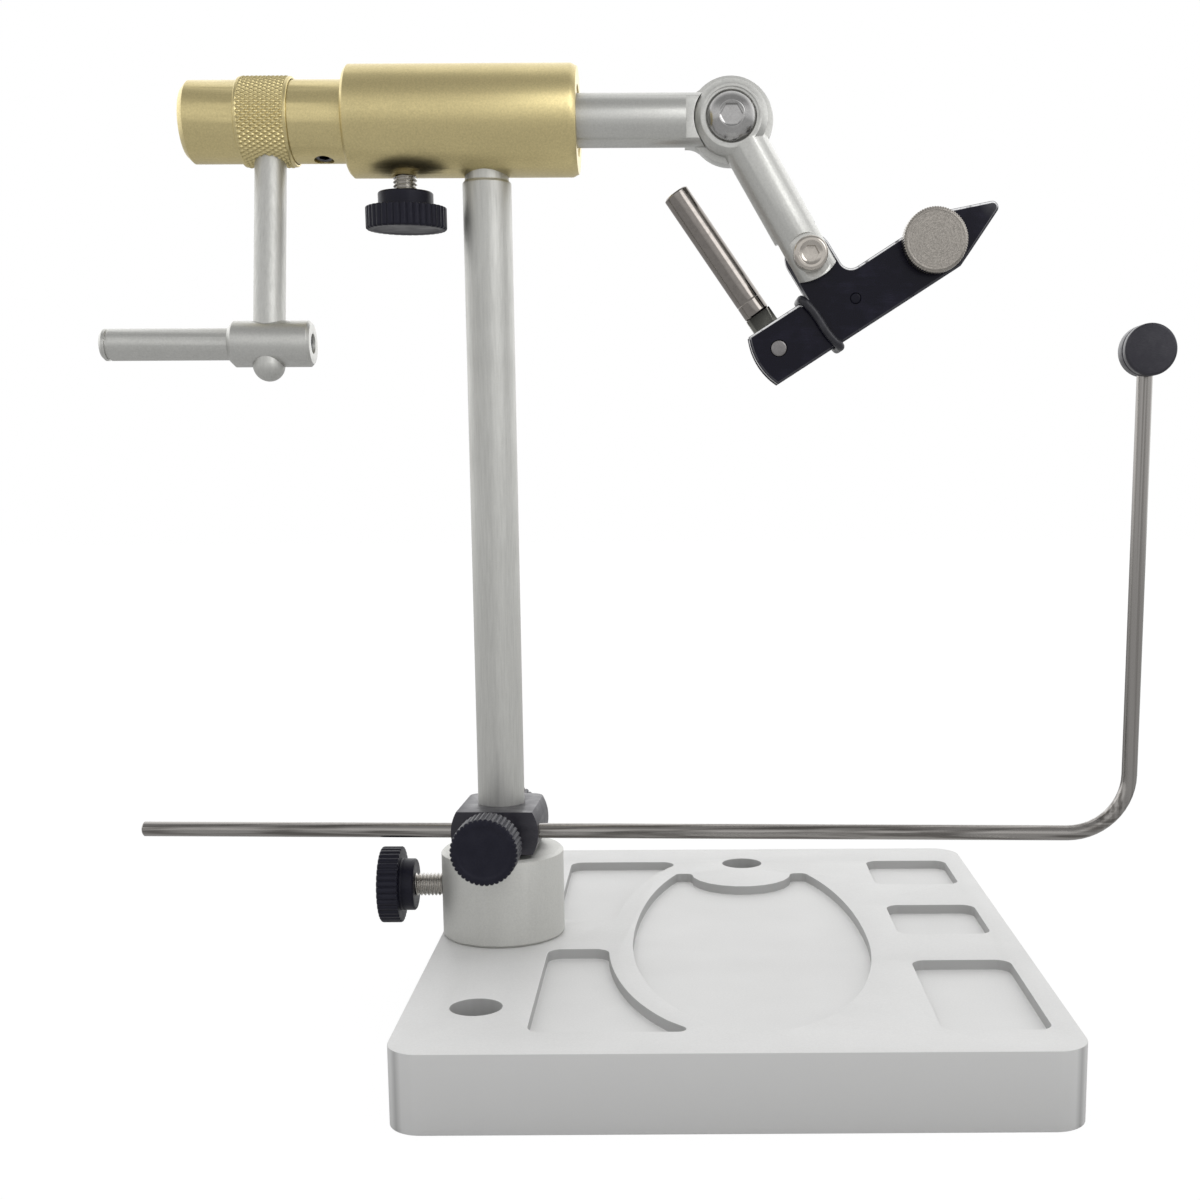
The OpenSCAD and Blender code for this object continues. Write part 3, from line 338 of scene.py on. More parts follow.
def black_anodised(name):
    """Black anodised aluminium, satin, slightly grey where it was turned."""
    finish = Finish(name, (0.030, 0.029, 0.038), 0.36, 0.35)
    clouds = finish.noise(4.0, 2.0)
    lines = finish.noise(0.5, 3.0, 0.6, (1.0, 1.0, 6.0))
    finish.shade(finish.steps(clouds * 0.5 + lines * 0.5, 0.45, 0.75), (0.058, 0.056, 0.066))
    finish.put("Roughness", 0.30 + finish.steps(clouds, 0.3, 0.7) * 0.14)
    finish.bump(lines, 0.008)
    return finish.material


def bright_metal(name, color, roughness, mark=0.5):
    """Polished or plated metal: clear reflections, small stains and fine marks."""
    finish = Finish(name, color, roughness, 1.0)
    clouds = finish.noise(3.0, 3.0)
    marks = finish.noise(mark, 3.0, 0.6)
    finish.shade(finish.steps(clouds * 0.6 + marks * 0.4, 0.4, 0.8), scaled(color, 0.74))
    finish.put("Roughness", roughness - 0.03 + finish.steps(marks * 0.4 + clouds * 0.6, 0.3, 0.7) * 0.08)
    finish.bump(marks, 0.004)
    return finish.material


# The rod's streaks turn from level to upright between these heights
ROD_BEND = (40.0, 48.0)


def drawn_rod(name):
    """Drawn steel rod: dark and bright streaks along its length. The streaks run level under
    the height of the bend and upright above it."""
    finish = Finish(name, (0.36, 0.345, 0.33), 0.20, 1.0)
    level = finish.noise(0.9, 2.0, 0.5, (0.004, 1.0, 1.0))
    upright = finish.noise(0.9, 2.0, 0.5, (1.0, 1.0, 0.004))
    above = finish.steps(finish.share(finish.where(), Z_RAY), ROD_BEND[0] * MM, ROD_BEND[1] * MM)
    streaks = level * (1.0 - above) + upright * above
    finish.shade(finish.steps(streaks, 0.44, 0.60), (0.17, 0.16, 0.15))
    finish.put("Roughness", 0.14 + finish.steps(streaks, 0.3, 0.7) * 0.14)
    finish.bump(finish.noise(0.5, 3.0, 0.6), 0.003)
    return finish.material


# The size of the noise that draws the rings on a turned face, in millimetres
TURNED_RING = 0.13


def faced_metal(name, node, color, roughness):
    """Turned metal whose face shows rings: fine noise of the distance from the node's axis,
    which runs along Y, as colour and bump."""
    finish = Finish(name, color, roughness, 1.0)
    rings = finish.node("ShaderNodeTexNoise", {"noise_dimensions": "1D"}, {
        "W": finish.off_axis(node), "Scale": 1.0 / (TURNED_RING * MM), "Detail": 3.0, "Roughness": 0.6})
    grain = finish.noise(0.16, 2.0, 0.6)
    finish.shade(finish.steps(rings * 0.2 + grain * 0.8, 0.38, 0.62), scaled(color, 0.50))
    finish.put("Roughness", roughness - 0.05 + finish.steps(rings, 0.3, 0.7) * 0.12)
    finish.bump(rings * 0.3 + grain * 0.7, 0.018)
    return finish.material


# The lever's flat tongue ends this far from the cam pin
TONGUE_REACH = 8.6
TONGUE_FADE = 0.3


def polished_lever(name, color):
    """Polished dark steel with hair-fine marks; the flat tongue near the pin is a duller grey."""
    finish = Finish(name, color, 0.12, 1.0)
    marks = finish.noise(0.8, 3.0, 0.6)
    finish.shade(finish.steps(marks, 0.45, 0.8), scaled(color, 0.8))
    away = finish.distance(finish.where(), tuple(middle("cam_pin")))
    tongue = finish.steps(away, (TONGUE_REACH + TONGUE_FADE) * MM, (TONGUE_REACH - TONGUE_FADE) * MM)
    finish.shade(tongue, (0.16, 0.16, 0.145))
    finish.put("Roughness", 0.10 + finish.steps(marks, 0.3, 0.7) * 0.05 + tongue * 0.25)
    finish.bump(marks, 0.002)
    return finish.material


def soft_rubber(name):
    """Black rubber, a little shiny, with a dusty bloom."""
    finish = Finish(name, (0.013, 0.013, 0.019), 0.38, 0.0, Specular_IOR_Level=0.5)
    bloom = finish.noise(1.5, 3.0)
    finish.shade(finish.steps(bloom, 0.45, 0.8), (0.034, 0.034, 0.042))
    finish.put("Roughness", 0.32 + finish.steps(bloom, 0.3, 0.7) * 0.16)
    finish.bump(bloom, 0.01)
    return finish.material


def plain_plastic(name):
    """White low-friction plastic of the brake pad, slightly waxy."""
    finish = Finish(name, (0.75, 0.75, 0.72), 0.45, 0.0, Subsurface_Weight=0.05)
    haze = finish.noise(1.2, 2.0)
    finish.shade(finish.steps(haze, 0.4, 0.8), (0.66, 0.66, 0.62))
    finish.bump(haze, 0.01)
    return finish.material


SILVER = (0.64, 0.64, 0.615)
GOLD = (0.76, 0.645, 0.335)
NICKEL = (0.66, 0.615, 0.56)

# The finish of each material slot of the record, and those that only single nodes take
FINISHES = {
    "base": satin_metal("base silver", (0.69, 0.69, 0.685), 0.60, BLASTED, 0.15, 0.005, 0.94, "base_plate"),
    "turned_steel": satin_metal("upright silver", SILVER, 0.54, DRAWN_UPRIGHT),
    "level silver": satin_metal("level silver", SILVER, 0.42, BLASTED),
    "holder silver": satin_metal("holder silver", SILVER, 0.56, BLASTED, 0.9, 0.006, 0.92),
    "gold": satin_metal("gold", GOLD, 0.36, BLASTED, 1.0, 0.016, 0.80),
    "bush": bright_metal("bush", (0.72, 0.60, 0.36), 0.30),
    "knob": moulded_black("knob black"),
    "stud": bright_metal("stud steel", (0.58, 0.56, 0.53), 0.20),
    "rod": drawn_rod("rod steel"),
    "black_block": black_anodised("block black"),
    "black_steel": blued_black("jaw black", True),
    "pin black": blued_black("pin black", False),
    "screw": bright_metal("screw steel", (0.47, 0.465, 0.46), 0.17),
    "nickel": bright_metal("screw nickel", scaled(NICKEL, 0.85), 0.17),
    "pin": bright_metal("pin steel", (0.26, 0.25, 0.25), 0.30),
    "dark_screw": bright_metal("screw black", (0.12, 0.12, 0.13), 0.30),
    "lever": polished_lever("lever steel", (0.28, 0.258, 0.24)),
    "adjuster": faced_metal("adjuster nickel", "adjusting_screw", scaled(NICKEL, 0.72), 0.28),
    "pad": plain_plastic("pad"),
    "rubber": soft_rubber("rubber"),
}

# Nodes whose finish differs from their slot's, because they are polished or turned otherwise
OWN_FINISH = {
    "shaft": "level silver", "crank_handle": "level silver", "arm": "level silver",
    "cam_lever": "lever", "adjusting_screw": "adjuster", "tilt_screw": "nickel", "cam_pin": "pin",
    "guide_pin": "pin black", "post_holder": "holder silver",
}


def finish_of(node):
    """The name of a CAD node's finish: its own, or its slot's."""
    return OWN_FINISH.get(node, SLOT_OF[node])


# Pieces

def add_piece(name, mesh, node):
    """Links a mesh as a piece that rides with a CAD node's body and takes its finish."""
    piece = bpy.data.objects.new(name, mesh)
    bpy.context.collection.objects.link(piece)
    piece.data.materials.append(FINISHES[finish_of(node)])
    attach(piece, BODY_OF[node])
    return piece


def stand_in(name, mesh, node):
    """A piece that takes a CAD node's place."""
    piece = add_piece(name, mesh, node)
    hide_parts(node)
    return piece


def smooth(mesh, corner=None):
    """Smooth shading, with sharp edges where faces meet at more than the given angle."""
    mesh.polygons.foreach_set("use_smooth", np.ones(len(mesh.polygons), bool))
    if corner:
        mesh.set_sharp_from_angle(angle=math.radians(corner))
    return mesh


def grid_mesh(name, points, loop=False):
    """A closed mesh over a grid of points, shape (rows, columns, 3), which wraps round along
    the columns. The rows wrap round too in a loop; otherwise the first and the last row are
    one point each. Points at one place are merged, and the faces turned outwards."""
    rows, columns, _ = points.shape
    index = np.arange(rows * columns).reshape(rows, columns)
    below = np.roll(index, -1, axis=0)
    corners = [index, np.roll(index, -1, axis=1), np.roll(below, -1, axis=1), below]
    quads = np.stack(corners, axis=-1)[:rows if loop else rows - 1].reshape(-1, 4)
    mesh = bpy.data.meshes.new(name)
    mesh.from_pydata(points.reshape(-1, 3).tolist(), [], quads.tolist())
    work = bmesh.new()
    work.from_mesh(mesh)
    bmesh.ops.remove_doubles(work, verts=work.verts, dist=SAME_PLACE)
    bmesh.ops.recalc_face_normals(work, faces=work.faces)
    work.to_mesh(mesh)
    work.free()
    return smooth(mesh)


# A curve at a corner takes up at most its edge's length over this
CORNER_ROOM = 2.2


def rounded(profile, radius, steps=4):
    """A profile of (height, radius) corners with every inner corner turned into a curve: each
    corner becomes a quadratic curve between points at most the given radius away from it."""
    corners = np.array(profile, float)
    result = [corners[0]]
    for before, corner, after in zip(corners[:-2], corners[1:-1], corners[2:]):
        reach_in = min(radius, np.linalg.norm(before - corner) / CORNER_ROOM)
        reach_out = min(radius, np.linalg.norm(after - corner) / CORNER_ROOM)
        start = corner + (before - corner) / np.linalg.norm(before - corner) * reach_in
        end = corner + (after - corner) / np.linalg.norm(after - corner) * reach_out
        t = np.linspace(0.0, 1.0, steps)[:, None]
        result.extend((1 - t) ** 2 * start + 2 * t * (1 - t) * corner + t ** 2 * end)
    result.append(corners[-1])
    return np.array(result)


def dense(profile, step):
    """The same profile with more points, at most a step apart along the height."""
    pieces = []
    for a, b in zip(profile[:-1], profile[1:]):
        count = max(1, int(math.ceil(abs(b[0] - a[0]) / step)))
        pieces.append(a + (b - a) * np.linspace(0, 1, count, endpoint=False)[:, None])
    return np.vstack(pieces + [profile[-1:]])


def wave(phase):
    """Triangle wave from 0 to 1 and back over each whole number."""
    return 1.0 - np.abs(2.0 * (phase - np.floor(phase)) - 1.0)


def within(height, low, high, run):
    """1 between two heights, falling to 0 over the run inside each of them."""
    return np.clip((high - height) / run, 0, 1) * np.clip((height - low) / run, 0, 1)


class Axis:
    """A line in millimetres that a turned piece is made round."""

    def __init__(self, origin, direction):
        self.origin = np.array(origin, float) / MM
        self.along = np.array(direction, float) / np.linalg.norm(direction)
        helper = np.array(Z_RAY if abs(self.along[2]) < 0.9 else X_RAY)
        self.side = np.cross(helper, self.along)
        self.side /= np.linalg.norm(self.side)
        self.other = np.cross(self.along, self.side)

    def span(self, node, beyond=0.0):
        """Lowest and highest place along the axis, and the largest distance from it, of a
        CAD node's corners that lie at least a share of that distance away."""
        mesh = NODES[node].data
        corners = np.empty(len(mesh.vertices) * 3)
        mesh.vertices.foreach_get("co", corners)
        offset = corners.reshape(-1, 3) / MM - self.origin
        height = offset @ self.along
        distance = np.linalg.norm(offset - height[:, None] * self.along, axis=1)
        kept = height[distance >= beyond * distance.max()]
        return kept.min(), kept.max(), distance.max()

    def place(self, height, radius, angle):
        """Points in metres for arrays of height, radius and angle."""
        return (self.origin + height[..., None] * self.along
                + (radius * np.cos(angle))[..., None] * self.side
                + (radius * np.sin(angle))[..., None] * self.other) * MM


def joint_axis(name):
    """The axis of a joint of the frame."""
    return Axis(JOINTS[name]["pos_m"], JOINTS[name]["axis"])


def node_axis(node, direction):
    """An axis through the middle of a CAD node."""
    return Axis(middle(node), direction)


def turned(name, axis, profile, columns=96, relief=None):
    """Turns a profile of (height, radius) round an axis. relief(height, angle) is added to
    the radius, so the surface is origin + height * along + (radius + relief) * ray(angle)."""
    angle = np.linspace(0.0, TURN, columns, endpoint=False)[None, :] + 0.0 * profile[:, :1]
    height = profile[:, :1] + 0.0 * angle
    radius = profile[:, 1:] + 0.0 * angle
    if relief is not None:
        radius = np.maximum(radius + relief(height, angle), 0.0)
    return grid_mesh(name, axis.place(height, radius, angle))


# Threads, knobs, knurls

# The radius of the small curves at the corners of turned profiles
FINE_CURVE = 0.1


def bar_profile(low, high, radius, edge, curve):
    """The profile of a plain bar whose two ends are broken by the same edge."""
    return rounded([(low, 0.0), (low, radius - edge), (low + edge, radius),
                    (high - edge, radius), (high, radius - edge), (high, 0.0)], curve)


STUDS = {
    "holder_stud": "holder_screw_turn", "brake_stud": "brake_screw_turn",
    "front_clamp_stud": "front_clamp_screw_turn", "rear_clamp_stud": "rear_clamp_screw_turn",
}
STUD_EDGE = 0.5
STUD_COLUMNS = 48
THREAD_PITCH = 0.8
THREAD_DEPTH = 0.45
THREAD_ROWS = 10
# The thread's wave is raised by this gain, lowered by this start and clipped, which leaves a
# narrow flat at its root and a wider one at its crest
THREAD_GAIN = 1.25
THREAD_START = 0.15


def threaded_stud(node, joint):
    """A stud whose radius follows a triangle wave of height / pitch - angle / turn."""
    axis = joint_axis(joint)
    low, high, radius = axis.span(node)
    profile = bar_profile(low, high, radius, STUD_EDGE, FINE_CURVE)
    profile = dense(profile, THREAD_PITCH / THREAD_ROWS)

    def thread(height, angle):
        flank = wave(height / THREAD_PITCH - angle / TURN)
        crest = np.clip(THREAD_GAIN * flank - THREAD_START, 0, 1)
        return -THREAD_DEPTH * crest * within(height, low, high, STUD_EDGE)

    name = node + "_thread"
    stand_in(name, turned(name, axis, profile, STUD_COLUMNS, thread), node)


# Each knob's joint, the radius and length of its hub, and its number of ribs
KNOBS = {
    "holder_knob": ("holder_screw_turn", 5.65, 3.0, 36),
    "brake_knob": ("brake_screw_turn", 5.65, 3.0, 36),
    "front_clamp_knob": ("front_clamp_screw_turn", 5.3, 2.6, 40),
    "rear_clamp_knob": ("rear_clamp_screw_turn", 4.0, 2.6, 30),
}
KNOB_ROWS = 0.5
RIB_DEPTH = 0.5
RIB_COLUMNS = 12
# Of the half ellipse, so that its ends aren't upright
RIB_WIDTH_SHARE = 0.96
RIM_BACK_EDGE = 0.15
RIM_EDGE = 0.3
HUB_FLAT = 0.5
HUB_EDGE = 0.3
HUB_CURVE = 0.12
# The face's flat band and the start and end of the dish's slope, inwards from the rim
FACE_BAND = 1.2
DISH_START = 1.3
DISH_END = 1.9
DISH_DEPTH = 0.2
DISH_FLAT = 1.0
DISH_CURVE = 0.3
# The ribs fade in from this far inside the rim, over this run
RIB_REACH = 1.0
RIB_RUN = 0.6


def ribbed_knob(node, joint, hub_radius, hub_length, ribs):
    """A knob with a scalloped rim: each rib is half an ellipse over its share of the turn, with
    a sharp valley on both sides, and the ribs run on through the edge of the face."""
    axis = joint_axis(joint)
    low, high, radius = axis.span(node)
    step = low + hub_length
    floor = high - DISH_DEPTH
    hub = [(low, HUB_FLAT), (low, hub_radius - HUB_EDGE), (low + HUB_EDGE, hub_radius), (step, hub_radius)]
    rim = [(step, hub_radius + FINE_CURVE), (step, radius - RIM_BACK_EDGE), (step + RIM_BACK_EDGE, radius),
           (high - RIM_EDGE, radius), (high, radius - RIM_EDGE), (high, radius - FACE_BAND)]
    dish = [(high, radius - DISH_START), (floor, radius - DISH_END), (floor, DISH_FLAT)]
    profile = dense(np.vstack([
        [(low, 0.0)], rounded(hub, HUB_CURVE), rounded(rim, FINE_CURVE), rounded(dish, DISH_CURVE),
        [(floor, 0.0)]]), KNOB_ROWS)
    ribbed = np.clip((profile[:, 1:] - radius + RIB_REACH) / RIB_RUN, 0, 1)

    def scallops(height, angle):
        across = 2.0 * np.mod(angle / TURN * ribs, 1.0) - 1.0
        return -RIB_DEPTH * (1.0 - np.sqrt(1.0 - RIB_WIDTH_SHARE * across ** 2)) * ribbed

    name = node + "_ribbed"
    stand_in(name, turned(name, axis, profile, ribs * RIB_COLUMNS, scallops), node)


KNURL_COUNT = 54
KNURL_COLUMNS = 8
KNURL_DEPTH = 0.42
# How far the crests stand out of the hub's own band
KNURL_RISE = 0.15
KNURL_ASPECT = 1.65
# The pyramids' tips are flattened by this gain
KNURL_GAIN = 1.1
# The band is found by the corners of the hub beyond this share of its radius
BAND_SHARE = 0.96
BAND_ROWS = 0.09
BAND_RIM = 0.55
BAND_EDGE = 0.2
BAND_WALL = 1.0
BAND_RUN = 0.3
BAND_COVER = 0.6


def knurled_band():
    """The hub's knurl: pyramids between two families of helical grooves, whose height is the
    lesser of two triangle waves of angle plus and minus the height. Plain rims close it. Gives
    back the radius under which the hub's own band stays hidden."""
    axis = joint_axis("rotary_turn")
    low, high, radius = axis.span("rear_hub", BAND_SHARE)
    rim = radius - KNURL_RISE
    inner = radius - BAND_WALL
    profile = dense(rounded([
        (low, inner), (low, rim - BAND_EDGE), (low + BAND_EDGE, rim), (high - BAND_EDGE, rim),
        (high, rim - BAND_EDGE), (high, inner)], FINE_CURVE), BAND_ROWS)
    profile = np.vstack([[(low, 0.0)], profile, [(high, 0.0)]])
    lead = TURN * radius / KNURL_COUNT

    def pyramids(height, angle):
        along = height / (lead * KNURL_ASPECT)
        round_it = angle / TURN * KNURL_COUNT
        ridge = np.minimum(wave(along + round_it), wave(along - round_it))
        rise = KNURL_RISE - KNURL_DEPTH * (1.0 - np.clip(ridge * KNURL_GAIN, 0, 1))
        inside = within(height, low + BAND_RIM, high - BAND_RIM, BAND_RUN)
        return rise * inside * (profile[:, 1:] > inner)

    band = turned("hub_knurl", axis, profile, KNURL_COUNT * KNURL_COLUMNS, pyramids)
    add_piece("hub_knurl", band, "rear_hub")
    return radius - BAND_COVER


# The adjusting screw's stem and its thread
STEM_RADIUS = 2.0
STEM_FLAT = 1.0
STEM_EDGE = 0.3
STEM_ROWS = 0.08
STEM_PITCH = 0.7
STEM_THREAD = 0.3
STEM_RUN = 0.4
# Its head: the knurls, the edges and the corners of the chamfer towards the face, each given
# by its depth under the face and its distance inwards from the rim
HEAD_SHARE = 0.9
HEAD_KNURLS = 76
HEAD_COLUMNS = 8
HEAD_DEPTH = 0.15
HEAD_ROWS = 0.3
HEAD_EDGE = 0.4
HEAD_CHAMFER = ((0.45, 0.0), (0.05, 0.5), (0.0, 0.6), (0.0, 0.75))
KNURL_REACH = 0.5
KNURL_RUN = 0.3
# Its face: turned grooves from the rim to the middle, whose depth sways by a share
FACE_RIM = 0.9
FACE_MIDDLE = 0.25
FACE_GROOVE = 0.30
FACE_DEPTH = 0.018
FACE_SINK = 0.02
FACE_SWAY_SHARE = 0.4
FACE_SWAY = 7.0
FACE_CENTRE = 0.12


def turned_face(high, radius):
    """Fine turned grooves as a zigzag of the profile, whose depth sways as a sine wave of the
    distance from the axis."""
    out = np.arange(radius - FACE_RIM, FACE_MIDDLE, -FACE_GROOVE / 2)
    sway = 1.0 + FACE_SWAY_SHARE * np.sin(FACE_SWAY * out)
    depth = FACE_SINK + FACE_DEPTH * (np.arange(len(out)) % 2) * sway
    return np.stack([high - depth, out], -1)


def knurled_screw():
    """The adjusting screw: straight fine knurls round its head, a chamfer at both ends, fine
    turned grooves in the face, and its thread."""
    axis = joint_axis("adjusting_turn")
    low, high, radius = axis.span("adjusting_screw")
    head_low, _, _ = axis.span("adjusting_screw", HEAD_SHARE)
    stem = [(low, STEM_FLAT), (low, STEM_RADIUS - STEM_EDGE), (low + STEM_EDGE, STEM_RADIUS),
            (head_low, STEM_RADIUS)]
    head = [(head_low, STEM_RADIUS + FINE_CURVE), (head_low, radius - HEAD_EDGE),
            (head_low + HEAD_EDGE, radius)]
    head += [(high - depth, radius - inwards) for depth, inwards in HEAD_CHAMFER]
    profile = np.vstack([
        [(low, 0.0)], dense(rounded(stem, FINE_CURVE), STEM_ROWS),
        dense(rounded(head, FINE_CURVE), HEAD_ROWS), turned_face(high, radius),
        [(high - FACE_CENTRE, 0.0)]])
    rim = np.clip((profile[:, 1:] - radius + KNURL_REACH) / KNURL_RUN, 0, 1)
    shank = profile[:, 1:] < STEM_RADIUS + FINE_CURVE / 2

    def teeth(height, angle):
        knurl = -HEAD_DEPTH * (1 - wave(angle / TURN * HEAD_KNURLS)) * rim
        flank = wave(height / STEM_PITCH - angle / TURN)
        return knurl - STEM_THREAD * flank * within(height, low, head_low, STEM_RUN) * shank

    mesh = turned("adjusting_screw_head", axis, profile, HEAD_KNURLS * HEAD_COLUMNS, teeth)
    stand_in("adjusting_screw_head", mesh, "adjusting_screw")


# Screws with hexagon sockets, and pins

SCREW_COLUMNS = 96
SCREW_CREASE = 30.0
SHANK_FLAT = 0.3
SHANK_EDGE = 0.3
HEAD_CURVE = 0.12
SOCKET_CONE = 0.3
# The socket's flats close in a little towards its floor, and its floor's edge is rounded
SOCKET_FOOT_SHARE = 0.97
SOCKET_FLOOR_SHARE = 0.9


def socket_screw(node, direction, shank, head, flats, depth, top=0.0):
    """A turned screw whose socket is a hexagon: there the radius is half the width across the
    flats over the cosine of the angle to the nearest flat. The head's corners are heights from
    the CAD node's top face and radii. The socket starts at top and ends at depth under it."""
    axis = node_axis(node, direction)
    low, high, _ = axis.span(node)
    outside = rounded([(low, SHANK_FLAT), (low, shank - SHANK_EDGE), (low + SHANK_EDGE, shank)]
                      + [(high + h, r) for h, r in head], HEAD_CURVE)
    outside = np.vstack([[(low, 0.0)], outside])
    half = flats / 2
    floor = high - depth
    inside = np.array([(high - top, half), (floor, half * SOCKET_FOOT_SHARE),
                       (floor, half * SOCKET_FLOOR_SHARE), (floor - SOCKET_CONE, 0.0)])
    profile = np.vstack([outside, inside])
    hexagon = np.concatenate([np.zeros(len(outside)), [1.0, 1.0, 1.0, 0.0]])[:, None]

    def flanks(height, angle):
        from_flat = np.mod(angle, TURN / 6) - TURN / 12
        return hexagon * (profile[:, 1:] / np.cos(from_flat) - profile[:, 1:])

    name = node + "_turned"
    stand_in(name, smooth(turned(name, axis, profile, SCREW_COLUMNS, flanks), SCREW_CREASE), node)


FRONT = (0.0, -1.0, 0.0)

# The elbow screw's button head: a cap of a ball over a short upright edge, and a small ring
# round the socket. A socket is its width across the flats, its depth and its start.
BUTTON_SHANK = 3.0
BUTTON_SEAT = -3.0
BUTTON_BALL = 5.826
BUTTON_SINK = 2.526
BUTTON_CAP = (5.2, 2.8)
BUTTON_ROWS = 9
BUTTON_EDGE = [(BUTTON_SEAT, BUTTON_SHANK), (BUTTON_SEAT, 5.0), (BUTTON_SEAT + 0.12, 5.22)]
BUTTON_RING = [(-0.30, 2.66), (-0.27, 2.52), (-0.40, 2.36)]
BUTTON_SOCKET = (4.0, 1.8, 0.46)


def elbow_button():
    """The elbow screw. On the cap, height is the root of ball * ball - radius * radius."""
    cap = [(math.sqrt(BUTTON_BALL ** 2 - r ** 2) - BUTTON_SINK + BUTTON_SEAT, r)
           for r in np.linspace(*BUTTON_CAP, BUTTON_ROWS)]
    socket_screw("elbow_screw", FRONT, BUTTON_SHANK, BUTTON_EDGE + cap + BUTTON_RING, *BUTTON_SOCKET)


# The tilt screw's cap head: upright, with a wide chamfer and a dished ring round the socket
CAP_SHANK = 2.0
CAP_HEAD = [(-4.0, CAP_SHANK), (-4.0, 3.3), (-3.85, 3.48), (-0.42, 3.48), (-0.10, 3.16), (0.0, 2.9),
            (0.0, 2.35), (-0.10, 2.25), (-0.36, 1.82)]
CAP_SOCKET = (3.0, 2.0, 0.40)

# The two grub screws, one along the crank arm and one along its handle
CRANK_LEAN = math.radians(12.0)
GRUBS = {"hub_grub": (0.0, -math.sin(CRANK_LEAN), -math.cos(CRANK_LEAN)), "handle_grub": X_RAY}
GRUB_SHANK = 1.97
GRUB_HEAD = [(-0.35, GRUB_SHANK), (0.0, 1.65), (0.0, 1.35), (-0.12, 1.2)]
GRUB_SOCKET = (2.0, 1.4, 0.16)


def screws():
    """The elbow's button head, the tilt screw's cap head and the two grub screws."""
    elbow_button()
    socket_screw("tilt_screw", FRONT, CAP_SHANK, CAP_HEAD, *CAP_SOCKET)
    for node, direction in GRUBS.items():
        socket_screw(node, direction, GRUB_SHANK, GRUB_HEAD, *GRUB_SOCKET)


PIN_EDGES = {"cam_pin": 0.25, "guide_pin": 0.2}
PIN_COLUMNS = 64


def round_pin(node, edge):
    """A plain pin along Y with rounded ends."""
    axis = node_axis(node, Y_RAY)
    low, high, radius = axis.span(node)
    name = node + "_round"
    profile = bar_profile(low, high, radius, edge, edge)
    stand_in(name, turned(name, axis, profile, PIN_COLUMNS), node)


# Cam lever

# The bar leans out of square with the jaws, and its foot lies along them from the cam pin
LEVER_LEAN = math.radians(2.6)
LEVER_SHIFT = 0.6
LEVER_RADIUS = 2.8
LEVER_CURVE = 0.08
LEVER_ROWS = 2.0
LEVER_COLUMNS = 96
LEVER_CREASE = 40.0
LEVER_EDGE = 0.3
# Along the bar: its shoulder, and a fine line turned into it
LEVER_SHOULDER = 8.4
LEVER_LINE = 11.6
LINE_REACH = 0.12
LINE_DEPTH = 0.1
# How far the copy of the tongue runs into the bar
TONGUE_INTO_BAR = 0.05
TONGUE_CREASE = 30.0


def lever_axis():
    """The axis of the lever's bar."""
    slope = JAW_SLOPE + LEVER_LEAN
    return Axis(middle("cam_pin") + LEVER_SHIFT * MM * JAW_ALONG, (-math.sin(slope), 0.0, math.cos(slope)))


def lever_bar():
    """The lever's round bar, turned anew, with a fine line near its shoulder."""
    axis = lever_axis()
    _, high, _ = axis.span("cam_lever")
    low, radius = LEVER_SHOULDER, LEVER_RADIUS
    profile = dense(rounded([
        (low, 0.0), (low, radius - LEVER_EDGE), (low + LEVER_EDGE, radius),
        (LEVER_LINE - LINE_REACH, radius), (LEVER_LINE, radius - LINE_DEPTH),
        (LEVER_LINE + LINE_REACH, radius), (high - LEVER_EDGE, radius),
        (high, radius - LEVER_EDGE), (high, 0.0)], LEVER_CURVE), LEVER_ROWS)
    bar = smooth(turned("lever_bar", axis, profile, LEVER_COLUMNS), LEVER_CREASE)
    add_piece("lever_bar", bar, "cam_lever")


def lever_cam():
    """The lever's tongue and cam: a copy of the CAD node, cut off just inside the bar."""
    axis = lever_axis()
    cut_at = axis.origin * MM + axis.along * (LEVER_SHOULDER + TONGUE_INTO_BAR) * MM
    work = merged("cam_lever")
    cut = bmesh.ops.bisect_plane(
        work, geom=work.verts[:] + work.edges[:] + work.faces[:], dist=SAME_PLACE, clear_outer=True,
        plane_co=cut_at, plane_no=axis.along)
    rim = [edge for edge in cut["geom_cut"] if isinstance(edge, bmesh.types.BMEdge)]
    bmesh.ops.holes_fill(work, edges=rim, sides=0)
    bmesh.ops.recalc_face_normals(work, faces=work.faces)
    stand_in("lever_cam", smooth(to_mesh(work, "lever_cam"), TONGUE_CREASE), "cam_lever")


# Rubber ring round both jaws

# It leans further than the jaws' square, and lies this far along them from the cam pin. The
# box is its front, back, bottom and top.
RING_LEAN = math.radians(8.4)
RING_ALONG = 9.9
RING_BOX = (-2.9, 7.1, -6.65, 5.85)
RING_CORNER = 1.3
RING_RADIUS = 0.9
RING_BOW = 0.28
RING_CORNER_STEPS = 10
RING_ROWS = 160
RING_COLUMNS = 24


